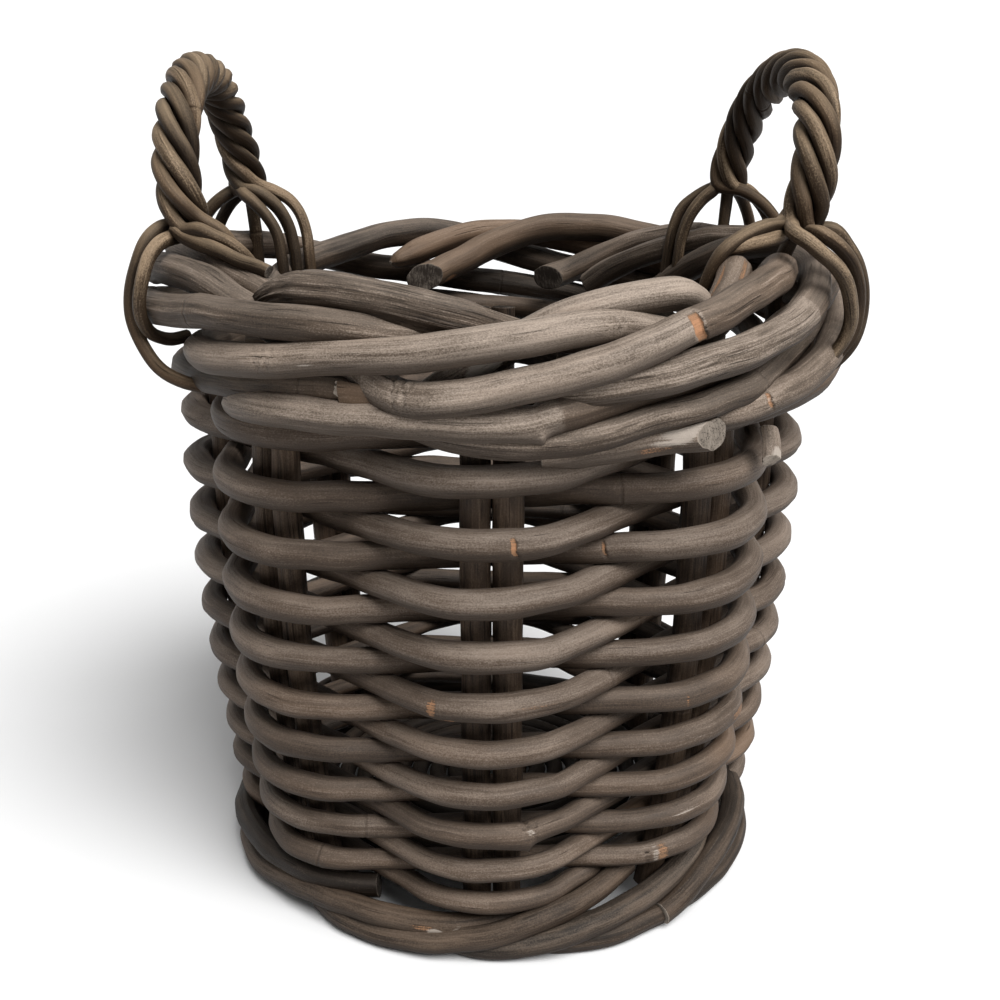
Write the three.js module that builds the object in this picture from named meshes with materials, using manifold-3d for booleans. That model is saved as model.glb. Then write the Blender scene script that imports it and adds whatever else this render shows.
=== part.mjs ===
// Round planter basket woven from rattan rods, with a laid border and two twisted handles.
// Millimetres, +Z up, the basket stands on z = 0 and its front faces -Y.
// A position round the basket is an angle in degrees, 0 at the front and 90 at +X.
import * as THREE from "three";
import { mergeVertices } from "three/addons/utils/BufferGeometryUtils.js";
import Module from "manifold-3d";

const wasm = await Module();
wasm.setup();

// Degrees in a full turn.
const FULL_TURN = 360;

// Ground: a block below z = 0 that cuts the foot flat.
const GROUND_SPAN = 500;
const GROUND_DEPTH = 40;

// Stakes: upright rods, two side by side in each pair.
const PAIR_COUNT = 8;
const STAKE_DIAMETER = 14;
const STAKE_GAP = 0.6;
const STAKE_FOOT_HEIGHT = 13;
const STAKE_TOP_HEIGHT = 268;

// Body: the centre of a weaver where it passes outside a pair, at the floor row and the top row.
const BODY_FLOOR_RADIUS = 134.8;
const BODY_TOP_RADIUS = 155.8;
const BODY_BELLY = 6.6;
const BODY_HEIGHT = 240;

// Rows: height of a strand after a number of turns is FLOOR + STEP * turns + GROWTH * turns^2.
const ROW_FLOOR = 31.3;
const ROW_STEP = 19.8;
const ROW_GROWTH = 0.515;
const WEAVER_DIAMETER = 14.2;
const WEAVER_EXCESS = 0.9;
const NIP_GAP = 0.35;
const PASS_GAP = 0.35;
const CORNER_EASE = 0.8;
const STRAND_A_SPLITS = [-0.375, 2.625, 5.625, 9.625];
const STRAND_B_SPLITS = [-0.5, 4.5, 9.25];
const CUT_END_GAP = 0.8;
const SIDE_COUNT = 4;
const CORNER_STEPS = [-14, -5, 5, 14, 45];

// Border: each rod's route is a list of [angle, distance outside the body's top radius, height above
// the middle of the border], before it is smoothed.
const BORDER_HEIGHT = 300;
const BORDER_STEP = 24;
const BORDER_ROUTES = {
  border_rod_01: { diameter: 15, route: [[-176, -6.8, -38], [-166, 1.2, -35], [-155, 10.2, -30],
    [-143, 14.2, -27], [-130, 16.2, -22], [-118, 16.2, -16.5], [-105, 16.2, -9.5], [-92, 16.2, -2],
    [-81, 16.2, 3.5], [-70, 16.2, 8], [-60, 16.2, 11.5], [-47, 15.2, 16], [-37, 14.2, 17.5],
    [-27, 12.7, 18], [-19, 8.2, 16], [-12, 0.2, 12], [-5, -7.8, 7], [1, -13.8, 2]] },
  border_rod_02: { diameter: 15.4, route: [[-76, -21.8, -13], [-70, -15.8, -11], [-65, -8.3, -9.5],
    [-60, -0.8, -8.2], [-54, 7.2, -6.2], [-47, 13.2, -3.5], [-37, 15.2, -0.5], [-28, 15.2, 3],
    [-12, 15.2, 9], [1, 14.7, 14.5], [9, 13.2, 17.5], [15, 10.2, 19], [20, 6.7, 17.5], [25, 4.2, 13.5],
    [30, 2.7, 10], [34, 2.7, 10.5], [37.5, 2.2, 15], [40.5, -0.8, 21], [43.5, -4.3, 26.8], [46.5, -8.3, 30],
    [50, -13.3, 28], [54, -17.3, 20.5], [58, -20.3, 11]] },
  border_rod_03: { diameter: 16.2, route: [[-39, 2.2, 26.5], [-35, 3.2, 29.5], [-29, 3.7, 30.5],
    [-20, 3.2, 29.5], [-13, 2.2, 26], [-6, 0.2, 21], [-1, -4.8, 16], [4, -11.8, 10], [10, -18.8, 3]] },
  border_rod_04: { diameter: 14.4, route: [[-9, 0.2, -11], [-4, 0.7, -1], [2, 1.2, 9], [6, 2.2, 15.5],
    [10, 3.2, 21], [16, 4.2, 26.5], [24, 3.2, 28], [30, 0.7, 27], [35, -5.3, 21.5], [39, -11.3, 14],
    [43, -16.3, 6], [46, -18.8, 0]] },
  border_rod_05: { diameter: 15.6, route: [[-30, -5.8, -1], [-24, 1.2, -3.5], [-19, 8.2, -6.5],
    [-14, 13.7, -9], [-10, 16.2, -9.5], [-5, 16.7, -8], [1, 16.7, -5], [9, 17.2, 0], [15, 18.2, 5],
    [20, 18.7, 10], [30, 16.7, 18.3], [34, 14.7, 20.5], [39, 11.2, 23.7], [46, 7.2, 26.5], [52, 3.7, 28],
    [58, -0.8, 28], [62.5, -6.8, 25.5], [66, -13.3, 18.5], [69, -18.8, 9]] },
  border_rod_06: { diameter: 15.8, route: [[9, 4.2, -9], [14, 10.2, -7], [18, 14.2, -5], [24, 17.2, -2.5],
    [31, 17.7, 0.5], [38, 18.2, 3], [47, 17.7, 8], [56, 15.2, 14.5], [62, 12.2, 19.5], [68, 6.7, 24],
    [73, 0.2, 25.5], [77, -7.3, 22], [81, -14.8, 15], [85, -19.8, 6]] },
  border_rod_07: { diameter: 14.8, route: [[-56, -13.8, -33.5], [-52, -7.8, -31], [-48, -1.3, -28.2],
    [-43, 5.2, -25.2], [-37, 9.7, -22.4], [-29, 12.2, -20.7], [-20, 12.7, -20.1], [-10, 12.7, -20.1],
    [0, 12.7, -20], [7, 12.7, -19.2], [11, 11.7, -16], [16, 8.2, -13.5], [24, 4.7, -11.5], [32, 3.2, -9],
    [44, 3.2, -3], [57, 4.2, 4], [66, 7.7, 9.5], [78, 11.2, 17.5], [86, 6.2, 23.5], [95, -1.8, 27],
    [104, -10.8, 23], [113, -16.8, 15], [121, -21.8, 6], [128, -24.3, -4], [134, -25.8, -15]] },
  border_rod_08: { diameter: 13.8, route: [[-9.5, 2.7, -35], [-4, 6.7, -33.8], [2, 9, -32], [10, 10, -29.5],
    [16, 11.2, -26.5], [22, 11.7, -22.5], [33, 12.2, -19], [41, 11.2, -16.5], [50, 6.2, -13],
    [57, 3.2, -10], [66, 3.7, -5], [78, 6.2, 4], [90, 7.2, 12], [100, 4.2, 18], [110, -1.8, 22],
    [120, -9.8, 21], [130, -16.3, 14], [139, -21.8, 6], [147, -24.3, -3], [154, -25.8, -14]] },
  border_rod_09: { diameter: 15, route: [[34, 3.2, -26.5], [39, 10.2, -25], [46, 14.2, -22],
    [57, 16.7, -16.5], [66, 18.2, -10], [78, 18.2, -3], [90, 17.2, 3.5], [102, 15.7, 8.5], [114, 12.7, 13],
    [126, 8.2, 16], [136, 3.2, 15.5], [145, -1.3, 10], [151.5, -5.8, 3], [156.5, -10.8, -3.2],
    [161, -17.3, -8.5], [165, -24.8, -11.8]] },
  border_rod_10: { diameter: 16.6, route: [[50, -7.8, -33], [58, 2.2, -30], [66, 10.2, -26],
    [78, 15.2, -19], [90, 16.2, -12], [102, 16.2, -7], [114, 16.2, -2], [126, 15.7, 3], [138, 14.7, 7.5],
    [148, 12.2, 12], [156, 8.7, 15], [163, 4.7, 15.5], [169, 1.2, 14.5], [175, -2.8, 10], [181, -7.3, 3.5],
    [187, -13.3, -3], [193, -20.8, -7.4], [198.5, -28.8, -10]] },
  border_rod_11: { diameter: 15, route: [[71, -7.8, -35], [80, 2.2, -32], [90, 11.2, -27.5],
    [102, 15.2, -22], [114, 16.2, -17], [126, 16.2, -12], [138, 16.2, -7], [150, 15.7, -1.5],
    [160, 14.7, 3.5], [168, 12.7, 8], [174, 10.2, 11], [180, 5.7, 11.8], [186, -1.3, 10.5],
    [191, -6.3, 7.5], [196, -10.8, 4.5], [201, -14.8, 1.5], [206, -17.8, -1.6]] },
  border_rod_12: { diameter: 16, route: [[100, -7.8, -37], [110, 3.2, -34], [120, 12.2, -30.5],
    [132, 15.2, -25], [144, 16.2, -20], [156, 16.2, -15], [168, 16.2, -9], [176, 15.7, -3], [183, 13.2, 4],
    [189, 9.2, 9.5], [195, 4.7, 12.5], [202, -0.3, 12.8], [210, -5.8, 10], [218, -10.3, 7],
    [226, -13.3, 4.7], [234, -15.8, 2], [243, -19.3, -3], [252, -23.8, -9]] },
  border_rod_13: { diameter: 15, route: [[132, -7.8, -38], [142, 4.2, -36], [152, 12.2, -34],
    [162, 15.2, -29], [175, 16.2, -23.5], [188, 16.2, -18], [202, 16.2, -10.5], [212, 15.2, -3.5],
    [222, 12.2, 5.5], [232, 9.2, 12], [242, 6.7, 16.5], [252, 4.7, 20], [262, 3.2, 23.5], [272, 1.2, 26.5],
    [282, -1.8, 28.5], [292, -5.3, 29.5], [302, -7.8, 28.5], [311, -9.3, 25.5], [319, -12.3, 19],
    [326, -17.8, 11]] },
  border_rod_14: { diameter: 15, route: [[162, -7.8, -41], [172, 4.2, -40], [180, 12.2, -38],
    [192, 15.2, -33], [205, 16.2, -27.5], [218, 16.2, -20.5], [230, 16.2, -10], [242, 16.2, -2],
    [253, 15.7, 5], [264, 14.7, 12], [274, 13.2, 18], [283, 11.2, 22.5], [292, 9.2, 26], [302, 7.7, 27.5],
    [311, 5.2, 25], [317, 1.7, 17.5], [323, -2.8, 9.5], [329, -8.8, 3]] },
  border_rod_15: { diameter: 13.6, route: [[-122, -5.8, -38], [-112, -0.3, -35.5], [-103, 1.7, -33.5],
    [-93, 1.2, -31.5], [-85, 0.7, -29], [-76, 0.7, -26.5], [-68, 1.7, -23.5], [-60, 2.2, -21.2],
    [-49, 3.2, -18.2], [-41, 4.2, -15.7], [-30, 5.2, -12.6], [-23, 4.7, -11.1], [-17, 3.7, -11],
    [-12, -0.3, -13], [-8, -4.3, -16]] },
  border_rod_16: { diameter: 14, route: [[8, -4.8, -39.5], [16, -1.3, -36.5], [23, 4.2, -33.5],
    [28, 10.7, -32], [32.5, 18.2, -30.5]] },
};

// Foot: a low ring, and rods laid on its outside that rise and tuck in between two pairs. Each rod's
// route is a list of [angle, distance outside the body's floor radius, height].
const FOOT_RING_DIAMETER = 12;
const FOOT_RING_INSET = 8.3;
const FOOT_RING_ENDS = [-176, 176];
const FOOT_STEP = 24;
const FOOT_ROUTES = {
  foot_rod_01: { diameter: 12.2, route: [[-92, -3.8, 6.3], [-83, 1.7, 6.4], [-75, 4.2, 7], [-66, 5, 8],
    [-57, 4.4, 10], [-48, 2.8, 12.6], [-38, 1.8, 14.6], [-25, 1.2, 15.6], [-12, 0.8, 15.8],
    [-3, -1.8, 16.2], [4, -6.3, 16.6], [10, -11.3, 17]] },
  foot_rod_02: { diameter: 12, route: [[-42, -3.8, 6.2], [-33, 1.2, 6.2], [-22, 4, 6.4], [-12, 5, 8],
    [-5, 5.4, 11.5], [2, 5.4, 16.2], [10, 4, 21.4], [18, 0.6, 25.4], [26, -4.8, 29], [33, -10.3, 32]] },
  foot_rod_03: { diameter: 12.2, route: [[-12, -2.8, 6.2], [-2, 2.7, 6.2], [7, 5.8, 8.4], [14, 6.6, 12.2],
    [22, 6.2, 16.2], [32, 4.7, 19.8], [40, 2.7, 22.2], [46, 0.7, 25.6], [52, -1.8, 30], [58, -5.8, 34.4]] },
  foot_rod_04: { diameter: 12, route: [[5, -3.8, 6.2], [14, 2.2, 6.1], [24, 5.6, 6.2], [34, 4.6, 6.2],
    [44, 2.8, 6.2], [54, 4, 6.4], [66, 5.4, 8.4], [76, 4.5, 11.3], [86, 3, 14.2], [98, 1.6, 15.6],
    [110, 0.6, 16.8], [120, -3.8, 18.4], [126, -7.8, 18.8]] },
  foot_rod_05: { diameter: 12.4, route: [[37, 7.6, 8.6], [41, 8.2, 12], [46, 8.4, 18.4], [53, 8.2, 25.5],
    [62, 7.2, 30.4], [70, 4.8, 33.4], [76, 0.8, 35], [81, -4.3, 35.5]] },
  foot_rod_06: { diameter: 12.2, route: [[90, -3.8, 6.3], [99, 2.7, 6.3], [109, 5.6, 6.8], [120, 5, 8.2],
    [132, 2.8, 11.5], [145, 1.2, 14.4], [165, 0.8, 15], [185, 0.6, 15.6], [200, -2.3, 18.3],
    [208, -6.3, 18.8], [214, -9.3, 18.8]] },
  foot_rod_07: { diameter: 12.4, route: [[175, -3.8, 6.3], [185, 2.7, 6.4], [197, 5.2, 7.6], [210, 3.4, 11],
    [225, 1.6, 14], [240, 1.4, 14.6], [255, 2.2, 14.2], [265, 3.9, 13.8], [275, 5.4, 15], [284, 5.8, 18.5],
    [294, 5.4, 22.2], [303, 4.7, 23.5], [312, 2.7, 23], [320, -1.3, 22], [327, -7.3, 21.6],
    [332, -12.8, 21.6]] },
};

// Bottom: two bars lying on the foot ring and a flat coil lying on the bars.
const BAR_DIAMETER = 10;
const BAR_OFFSET = 38;
const BAR_END_INSET = 10.3;
const BAR_GAP = 0.4;
const COIL_DIAMETER = 9;
const COIL_PITCH = 10.4;
const COIL_INNER_RADIUS = 13;
const COIL_INSET = 38.6;
const COIL_GAP = 0.4;

// Handles: a bow whose ends go down inside the border, with canes twisted round it into a rope. The
// first and last ways are the canes' ends, from the foot of the rope over the border, one per cane.
// Bows and ways are measured like the border's routes.
const BOW_DIAMETER = 6.6;
const CANE_DIAMETER = 7.2;
const CANE_END_DIAMETER = 5.8;
const CANE_COUNT = 5;
const CANE_GAP = 1;
const CANE_STEPS = 7;
const CANE_TURNS = 3;
const ROPE_FOOT_RISE = 48;
const HANDLES = {
  left: {
    bow: [[-62, -20.8, 0], [-62, -20.8, 15], [-62, -18.8, 29], [-62.4, -10.3, 40], [-62.8, 0, 49],
      [-64.4, 2.4, 65], [-67, 1, 80], [-70.3, -2.4, 93], [-75.2, -6.4, 102], [-82.1, -9.4, 108],
      [-90, -10.5, 110.5], [-98.6, -9.1, 109], [-106.2, -5.5, 104], [-112, -1, 95], [-116.2, 2.5, 82],
      [-119.4, 4.2, 66], [-121, 3.7, 50], [-121, 0.7, 34], [-121, -1.3, 18], [-121, -1.8, 2]],
    firstWays: [
      [[-61.8, 6.4, 46], [-60.2, 4.2, 43.5], [-57.3, 0.2, 40.8], [-52.8, -3.8, 38.2], [-48.2, -6.8, 35.2],
        [-45.5, -9.8, 33.6], [-43, -12.3, 31.6]],
      [[-57.6, -0.3, 46.5], [-55.8, -5.3, 43.5], [-54.2, -9.8, 41], [-52.9, -13.8, 37.5],
        [-52.5, -17.8, 32.5], [-52.3, -21.3, 25]],
      [[-58.3, -11.3, 44.5], [-57.6, -15.8, 37.5], [-57.2, -19.3, 29], [-57, -21.8, 18], [-57, -23.3, 6],
        [-57, -24.3, -3]],
      [[-65.5, -5.8, 43.5], [-64.6, 1.2, 42.5], [-63, 9.2, 42], [-61.2, 16.2, 40], [-60.2, 21.7, 35],
        [-59.7, 25.5, 26.5], [-60, 27.4, 16.5], [-60.5, 26.7, 8], [-61.5, 23.2, 1.5], [-63, 17.7, -3],
        [-64.8, 11.2, -4.8], [-66.5, 4.7, -4]],
      [[-65, 11.2, 46], [-64, 18.2, 41.5], [-63.6, 24.2, 31], [-63.8, 28.2, 18], [-63.6, 28.8, 5.5],
        [-62.5, 25.2, -6.8], [-60.5, 20.2, -15.9], [-58, 15.2, -22.6], [-56.5, 10.2, -28]],
    ],
    lastWays: [
      [[-118.6, 2.7, 46], [-117.2, -3.8, 43.5], [-116.8, -10.3, 39.5], [-117.3, -16.5, 33],
        [-118, -21.3, 24], [-118, -24.3, 11], [-118, -25.8, -2]],
      [[-119, 12.2, 44], [-116.8, 19.2, 37], [-115.4, 25.2, 26], [-114.9, 28.7, 13], [-115, 28.2, 0],
        [-116, 22.2, -13], [-117, 14.2, -21]],
      [[-123.2, 10.2, 45], [-122.2, 18.2, 38.5], [-121.2, 24.7, 28], [-120.5, 28.7, 15.5],
        [-120.3, 28.6, 2], [-121, 24.2, -11], [-122, 16.2, -20]],
      [[-124, -8.8, 45], [-126, -14.8, 40.5], [-127, -20.3, 33], [-127.3, -24.3, 22], [-127, -26.3, 10],
        [-127, -27.8, -3]],
      [[-119, -5.3, 46], [-120, -11.5, 42.5], [-121.3, -17.3, 36.5], [-122.2, -22, 27], [-122.4, -25.1, 14],
        [-122.4, -26.6, 1]],
    ],
  },
  right: {
    bow: [[63, -8.3, 0], [63, -7.8, 15], [63, -6.3, 29], [63, -1.8, 40], [63, 3.2, 50], [62.9, 6.2, 65],
      [63.8, 6.8, 82], [67.1, 3.7, 96], [73.1, -1.1, 105], [81.6, -5.7, 110.5], [90, -7.8, 112],
      [99.7, -7.7, 109], [108.6, -5, 101], [115.4, -1.9, 89], [119.9, 0.5, 73], [122.6, 1.8, 56],
      [123, 1.7, 40], [123, 0.2, 25], [123, -0.8, 10], [123, -0.8, 0]],
    firstWays: [
      [[64.8, 16.2, 45], [67.2, 21.7, 37], [68.6, 26.5, 27.5], [69, 29.7, 16], [68.5, 30, 3],
        [67, 27.2, -8], [66, 20.2, -17], [65, 12.2, -22]],
      [[60, -3.3, 43.5], [55.5, -2.8, 43.3], [51.2, -4.8, 42.8], [47.6, -8.8, 41.6], [46.4, -14.8, 39],
        [46.4, -19.3, 32.5], [46.6, -22.8, 24], [46.8, -24.3, 15]],
      [[59.5, -4.3, 48], [55, -5.5, 48.5], [51, -7.3, 47.5], [47.5, -9.3, 44.6], [44.8, -11.5, 40.5],
        [43.5, -14.8, 33.5], [43.2, -18.2, 25], [43.6, -21.8, 15]],
      [[53.6, 10.2, 47], [53.6, 15.7, 44.5], [54.6, 21.2, 39.5], [56.8, 25.7, 33], [58.8, 28.8, 25],
        [60.3, 30.1, 15], [61.5, 29.5, 5], [62, 26.2, -5], [61.5, 20.2, -14], [60.5, 13.2, -19]],
      [[58.5, 16.2, 46], [60, 22.7, 40.5], [62.3, 27.5, 32.5], [64, 30, 22], [65, 30.2, 10], [65, 28.7, -1],
        [64.6, 23.2, -11], [64, 15.2, -19]],
    ],
    lastWays: [
      [[124, 12.2, 45], [125, 20.2, 37], [125.3, 26.2, 26.5], [125.2, 29, 14], [125, 28.7, 1],
        [124.5, 24.2, -11], [124, 16.2, -21]],
      [[121, 11.2, 45.5], [119.8, 18.2, 38.5], [119.5, 24.7, 29], [119.7, 28.7, 17], [120, 28.8, 4],
        [120.5, 25.2, -9], [121.5, 18.2, -19]],
      [[119.5, 3.7, 46], [118, 10.7, 42], [116.8, 17.7, 35], [116, 24.2, 25.5], [115.8, 28.2, 13.5],
        [116.3, 28.2, 1], [117, 23.2, -12], [118, 15.2, -21]],
      [[123.8, -6.3, 45.5], [124.6, -12.8, 40.5], [125.5, -19, 32.5], [126, -23.6, 21], [126, -26.3, 7],
        [126, -27.8, -6]],
      [[126, -2.8, 45.5], [128, -9.8, 40.5], [129.5, -16.5, 34], [130, -21.6, 24], [130, -24.8, 12],
        [130, -26.8, -1]],
    ],
  },
};

// Colours of the weathered bark.
const STAKE_BARK = { color: 0x74685b, roughness: 0.78 };
const WEAVER_BARK = { color: 0x7d7063, roughness: 0.74 };
const BORDER_BARK = { color: 0x857868, roughness: 0.72 };
const FOOT_BARK = { color: 0x786b5c, roughness: 0.78 };
const HANDLE_BARK = { color: 0x8a7a66, roughness: 0.7 };

const TRIM_GAP = 0.3;
const OVERLAP_LIMIT = 0.002;
const ROD_SIDES = 6;
const CANE_SIDES = 5;
const UP = new THREE.Vector3(0, 0, 1);

/** Point at an angle round the basket, a radius from its axis and a height. */
function place([angle, radius, height]) {
  const turn = THREE.MathUtils.degToRad(angle);
  return new THREE.Vector3(radius * Math.sin(turn), -radius * Math.cos(turn), height);
}

/** Points of a route measured from the body's top radius and the middle of the border. */
function overBorder(route) {
  return route.map(([angle, out, up]) => place([angle, BODY_TOP_RADIUS + out, BORDER_HEIGHT + up]));
}

/** Points of a route measured from the body's floor radius and the ground. */
function roundFoot(route) {
  return route.map(([angle, out, height]) => place([angle, BODY_FLOOR_RADIUS + out, height]));
}

/** Height of a strand after a number of turns. */
function rowHeight(turns) {
  return ROW_FLOOR + ROW_STEP * turns + ROW_GROWTH * turns * turns;
}

/** Turns after which a strand has climbed to a height. */
function turnsAtHeight(height) {
  const root = Math.sqrt(ROW_STEP * ROW_STEP + 4 * ROW_GROWTH * (height - ROW_FLOOR));
  return (root - ROW_STEP) / (2 * ROW_GROWTH);
}

/** Distance between one strand and the other above it. */
function rowSpacing(height) {
  const turns = Math.max(0, turnsAtHeight(height));
  return rowHeight(turns + 0.5) - rowHeight(turns);
}

/** Weaver diameter, a little more than the spacing low down, full size above. */
function weaverDiameter(height) {
  return Math.min(WEAVER_DIAMETER, rowSpacing(height) + WEAVER_EXCESS);
}

/** Distance from the centre of a stake to the centre of a weaver that passes it. */
function passOffset(height) {
  return (weaverDiameter(height) + STAKE_DIAMETER) / 2 + PASS_GAP;
}

/** Radius of the body where a weaver passes outside a pair. */
function bodyRadius(height) {
  const rise = (height - ROW_FLOOR + ROW_STEP) / BODY_HEIGHT;
  const share = THREE.MathUtils.clamp(rise, 0, 1.25);
  const belly = 4 * share * Math.max(0, 1 - share);
  return THREE.MathUtils.lerp(BODY_FLOOR_RADIUS, BODY_TOP_RADIUS, Math.min(share, 1)) + BODY_BELLY * belly;
}

/** Radius on which the stakes stand at a height. */
function stakeRadius(height) {
  return bodyRadius(height) - passOffset(height) - CORNER_EASE;
}

/** Radius of a rounded square path at an angle from one of its corners, within 45 degrees. */
function roundedSquare(offset, halfSide, cornerReach) {
  const corner = (Math.SQRT2 * halfSide - cornerReach) / (Math.SQRT2 - 1);
  const turn = Math.abs(THREE.MathUtils.degToRad(offset));
  const straightFrom = Math.PI / 4 - Math.atan2(halfSide - corner, halfSide);
  if (turn > straightFrom) {
    return halfSide / Math.cos(Math.PI / 4 - turn);
  }
  const centre = (halfSide - corner) * Math.SQRT2;
  return centre * Math.cos(turn) + Math.sqrt(corner ** 2 - (centre * Math.sin(turn)) ** 2);
}

/** Points, radii and flattening of one weaver between two turn counts of its strand. */
function weaverPath(fromTurns, toTurns, cornerAngle, heightLead) {
  const path = { points: [], radii: [], flats: [] };
  const steps = [];
  const startAngle = fromTurns * FULL_TURN;
  const endAngle = toTurns * FULL_TURN;
  const firstSide = Math.floor(fromTurns * SIDE_COUNT) - 1;
  const lastSide = Math.ceil(toTurns * SIDE_COUNT);
  for (let side = firstSide; side <= lastSide; side += 1) {
    const corner = (side * FULL_TURN) / SIDE_COUNT + cornerAngle;
    for (const offset of CORNER_STEPS) {
      steps.push({ angle: corner + offset, offset });
    }
  }
  const endTrim = THREE.MathUtils.radToDeg(CUT_END_GAP / 2 / BODY_FLOOR_RADIUS);
  for (const { angle, offset } of steps) {
    if (angle < startAngle - 1 || angle > endAngle + 1) {
      continue;
    }
    const trimmed = THREE.MathUtils.clamp(angle, startAngle + endTrim, endAngle - endTrim);
    const height = rowHeight(trimmed / FULL_TURN + heightLead);
    const pass = passOffset(height);
    const stand = stakeRadius(height);
    const radius = roundedSquare(offset, stand - pass, stand + pass + CORNER_EASE);
    const thick = weaverDiameter(height);
    const nip = Math.min(1, (rowSpacing(height) - NIP_GAP) / thick);
    const ease = THREE.MathUtils.smoothstep(Math.abs(offset), 4, 14);
    path.points.push(place([trimmed, radius, height]));
    path.radii.push(thick / 2);
    path.flats.push(THREE.MathUtils.lerp(1, nip, ease));
  }
  return path;
}

/** Evenly spaced points on the smooth curve through a list of points. */
function smoothPath(knots, step) {
  const curve = new THREE.CatmullRomCurve3(knots, false, "centripetal");
  curve.arcLengthDivisions = 400;
  return curve.getSpacedPoints(Math.max(4, Math.round(curve.getLength() / step)));
}

/** Unit direction of travel at a point of a path. */
function heading(points, index) {
  const before = points[Math.max(0, index - 1)];
  const after = points[Math.min(points.length - 1, index + 1)];
  return after.clone().sub(before).normalize();
}

/** Closed rod along points: radii and vertical flattening per point, the first side facing `side`. */
function rodGeometry({ points, radii, flats, side, carried, sides }, grow) {
  const positions = [];
  const faces = [];
  let across = side.clone();
  points.forEach((point, index) => {
    const along = heading(points, index);
    if (!carried) {
      across = side.clone();
    }
    across.addScaledVector(along, -across.dot(along)).normalize();
    const other = new THREE.Vector3().crossVectors(along, across);
    for (let corner = 0; corner < sides; corner += 1) {
      const turn = (corner * 2 * Math.PI) / sides;
      const reach = radii[index] + grow;
      const vertex = point.clone();
      vertex.addScaledVector(across, (radii[index] * flats[index] + grow) * Math.cos(turn));
      vertex.addScaledVector(other, reach * Math.sin(turn));
      positions.push(vertex.x, vertex.y, vertex.z);
    }
  });
  for (let ring = 0; ring + 1 < points.length; ring += 1) {
    for (let corner = 0; corner < sides; corner += 1) {
      const a = ring * sides + corner;
      const b = ring * sides + ((corner + 1) % sides);
      faces.push(a, b, b + sides, a, b + sides, a + sides);
    }
  }
  const last = (points.length - 1) * sides;
  for (let corner = 1; corner + 1 < sides; corner += 1) {
    faces.push(0, corner + 1, corner);
    faces.push(last, last + corner, last + corner + 1);
  }
  const geometry = new THREE.BufferGeometry();
  geometry.setAttribute("position", new THREE.Float32BufferAttribute(positions, 3));
  geometry.setIndex(faces);
  return geometry;
}

/** A rod of even or tapering thickness along points. */
function plainRod(points, startDiameter, endDiameter, side, options = {}) {
  const last = points.length - 1;
  return {
    points,
    radii: points.map((_, index) => THREE.MathUtils.lerp(startDiameter, endDiameter, index / last) / 2),
    flats: points.map(() => 1),
    side,
    carried: false,
    sides: ROD_SIDES,
    ...options,
  };
}

/** Two stakes of a pair, leaning with the body. */
function stakePair(pair) {
  const stakes = [];
  for (const half of [-1, 1]) {
    const points = [];
    const rows = 4;
    const angle = (pair * FULL_TURN) / PAIR_COUNT;
    for (let row = 0; row <= rows; row += 1) {
      const height = THREE.MathUtils.lerp(STAKE_FOOT_HEIGHT, STAKE_TOP_HEIGHT, row / rows);
      const radius = stakeRadius(height);
      const aside = (half * (STAKE_DIAMETER + STAKE_GAP)) / 2;
      const middle = place([angle, radius, height]);
      const sideways = place([angle + FULL_TURN / 4, aside, 0]);
      points.push(middle.add(sideways));
    }
    const outward = place([angle, 1, 0]);
    stakes.push(plainRod(points, STAKE_DIAMETER, STAKE_DIAMETER, outward));
  }
  return stakes;
}

/** The weavers of one strand, cut where the strand passes inside a pair. */
function strand(splits, cornerAngle, heightLead) {
  const rods = [];
  for (let index = 0; index + 1 < splits.length; index += 1) {
    const path = weaverPath(splits[index], splits[index + 1], cornerAngle, heightLead);
    rods.push({ ...path, side: UP, carried: false, sides: ROD_SIDES });
  }
  return rods;
}

/** Height of a rod that lies on one of its flat sides. */
function flatHeight(diameter) {
  return diameter * Math.cos(Math.PI / ROD_SIDES);
}

/** Foot ring lying on a flat side, left open at the back where its ends meet. */
function footRing() {
  const points = [];
  const steps = 28;
  for (let index = 0; index <= steps; index += 1) {
    const angle = THREE.MathUtils.lerp(FOOT_RING_ENDS[0], FOOT_RING_ENDS[1], index / steps);
    points.push(place([angle, BODY_FLOOR_RADIUS - FOOT_RING_INSET, flatHeight(FOOT_RING_DIAMETER) / 2]));
  }
  const outward = place([FOOT_RING_ENDS[0], 1, 0]);
  return plainRod(points, FOOT_RING_DIAMETER, FOOT_RING_DIAMETER, outward, { carried: true });
}

/** Height of the bars' centres above the ground. */
function barHeight() {
  return flatHeight(FOOT_RING_DIAMETER) + BAR_GAP + BAR_DIAMETER / 2;
}

/** One bar across the bottom, on the given side of the middle. */
function bottomBar(sign) {
  const reach = Math.sqrt((BODY_FLOOR_RADIUS - BAR_END_INSET) ** 2 - BAR_OFFSET ** 2);
  const ends = [-reach, 0, reach].map((x) => new THREE.Vector3(x, sign * BAR_OFFSET, barHeight()));
  return plainRod(ends, BAR_DIAMETER, BAR_DIAMETER, UP);
}

/** Flat coil that fills the bottom. */
function bottomCoil() {
  const points = [];
  const height = barHeight() + BAR_DIAMETER / 2 + COIL_GAP + COIL_DIAMETER / 2;
  const coilTurns = Math.round((BODY_FLOOR_RADIUS - COIL_INSET - COIL_INNER_RADIUS) / COIL_PITCH);
  const steps = coilTurns * 11;
  for (let index = 0; index <= steps; index += 1) {
    const turns = (coilTurns * index) / steps;
    points.push(place([turns * FULL_TURN, COIL_INNER_RADIUS + COIL_PITCH * turns, height]));
  }
  return plainRod(points, COIL_DIAMETER, COIL_DIAMETER, UP, { sides: CANE_SIDES });
}

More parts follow.
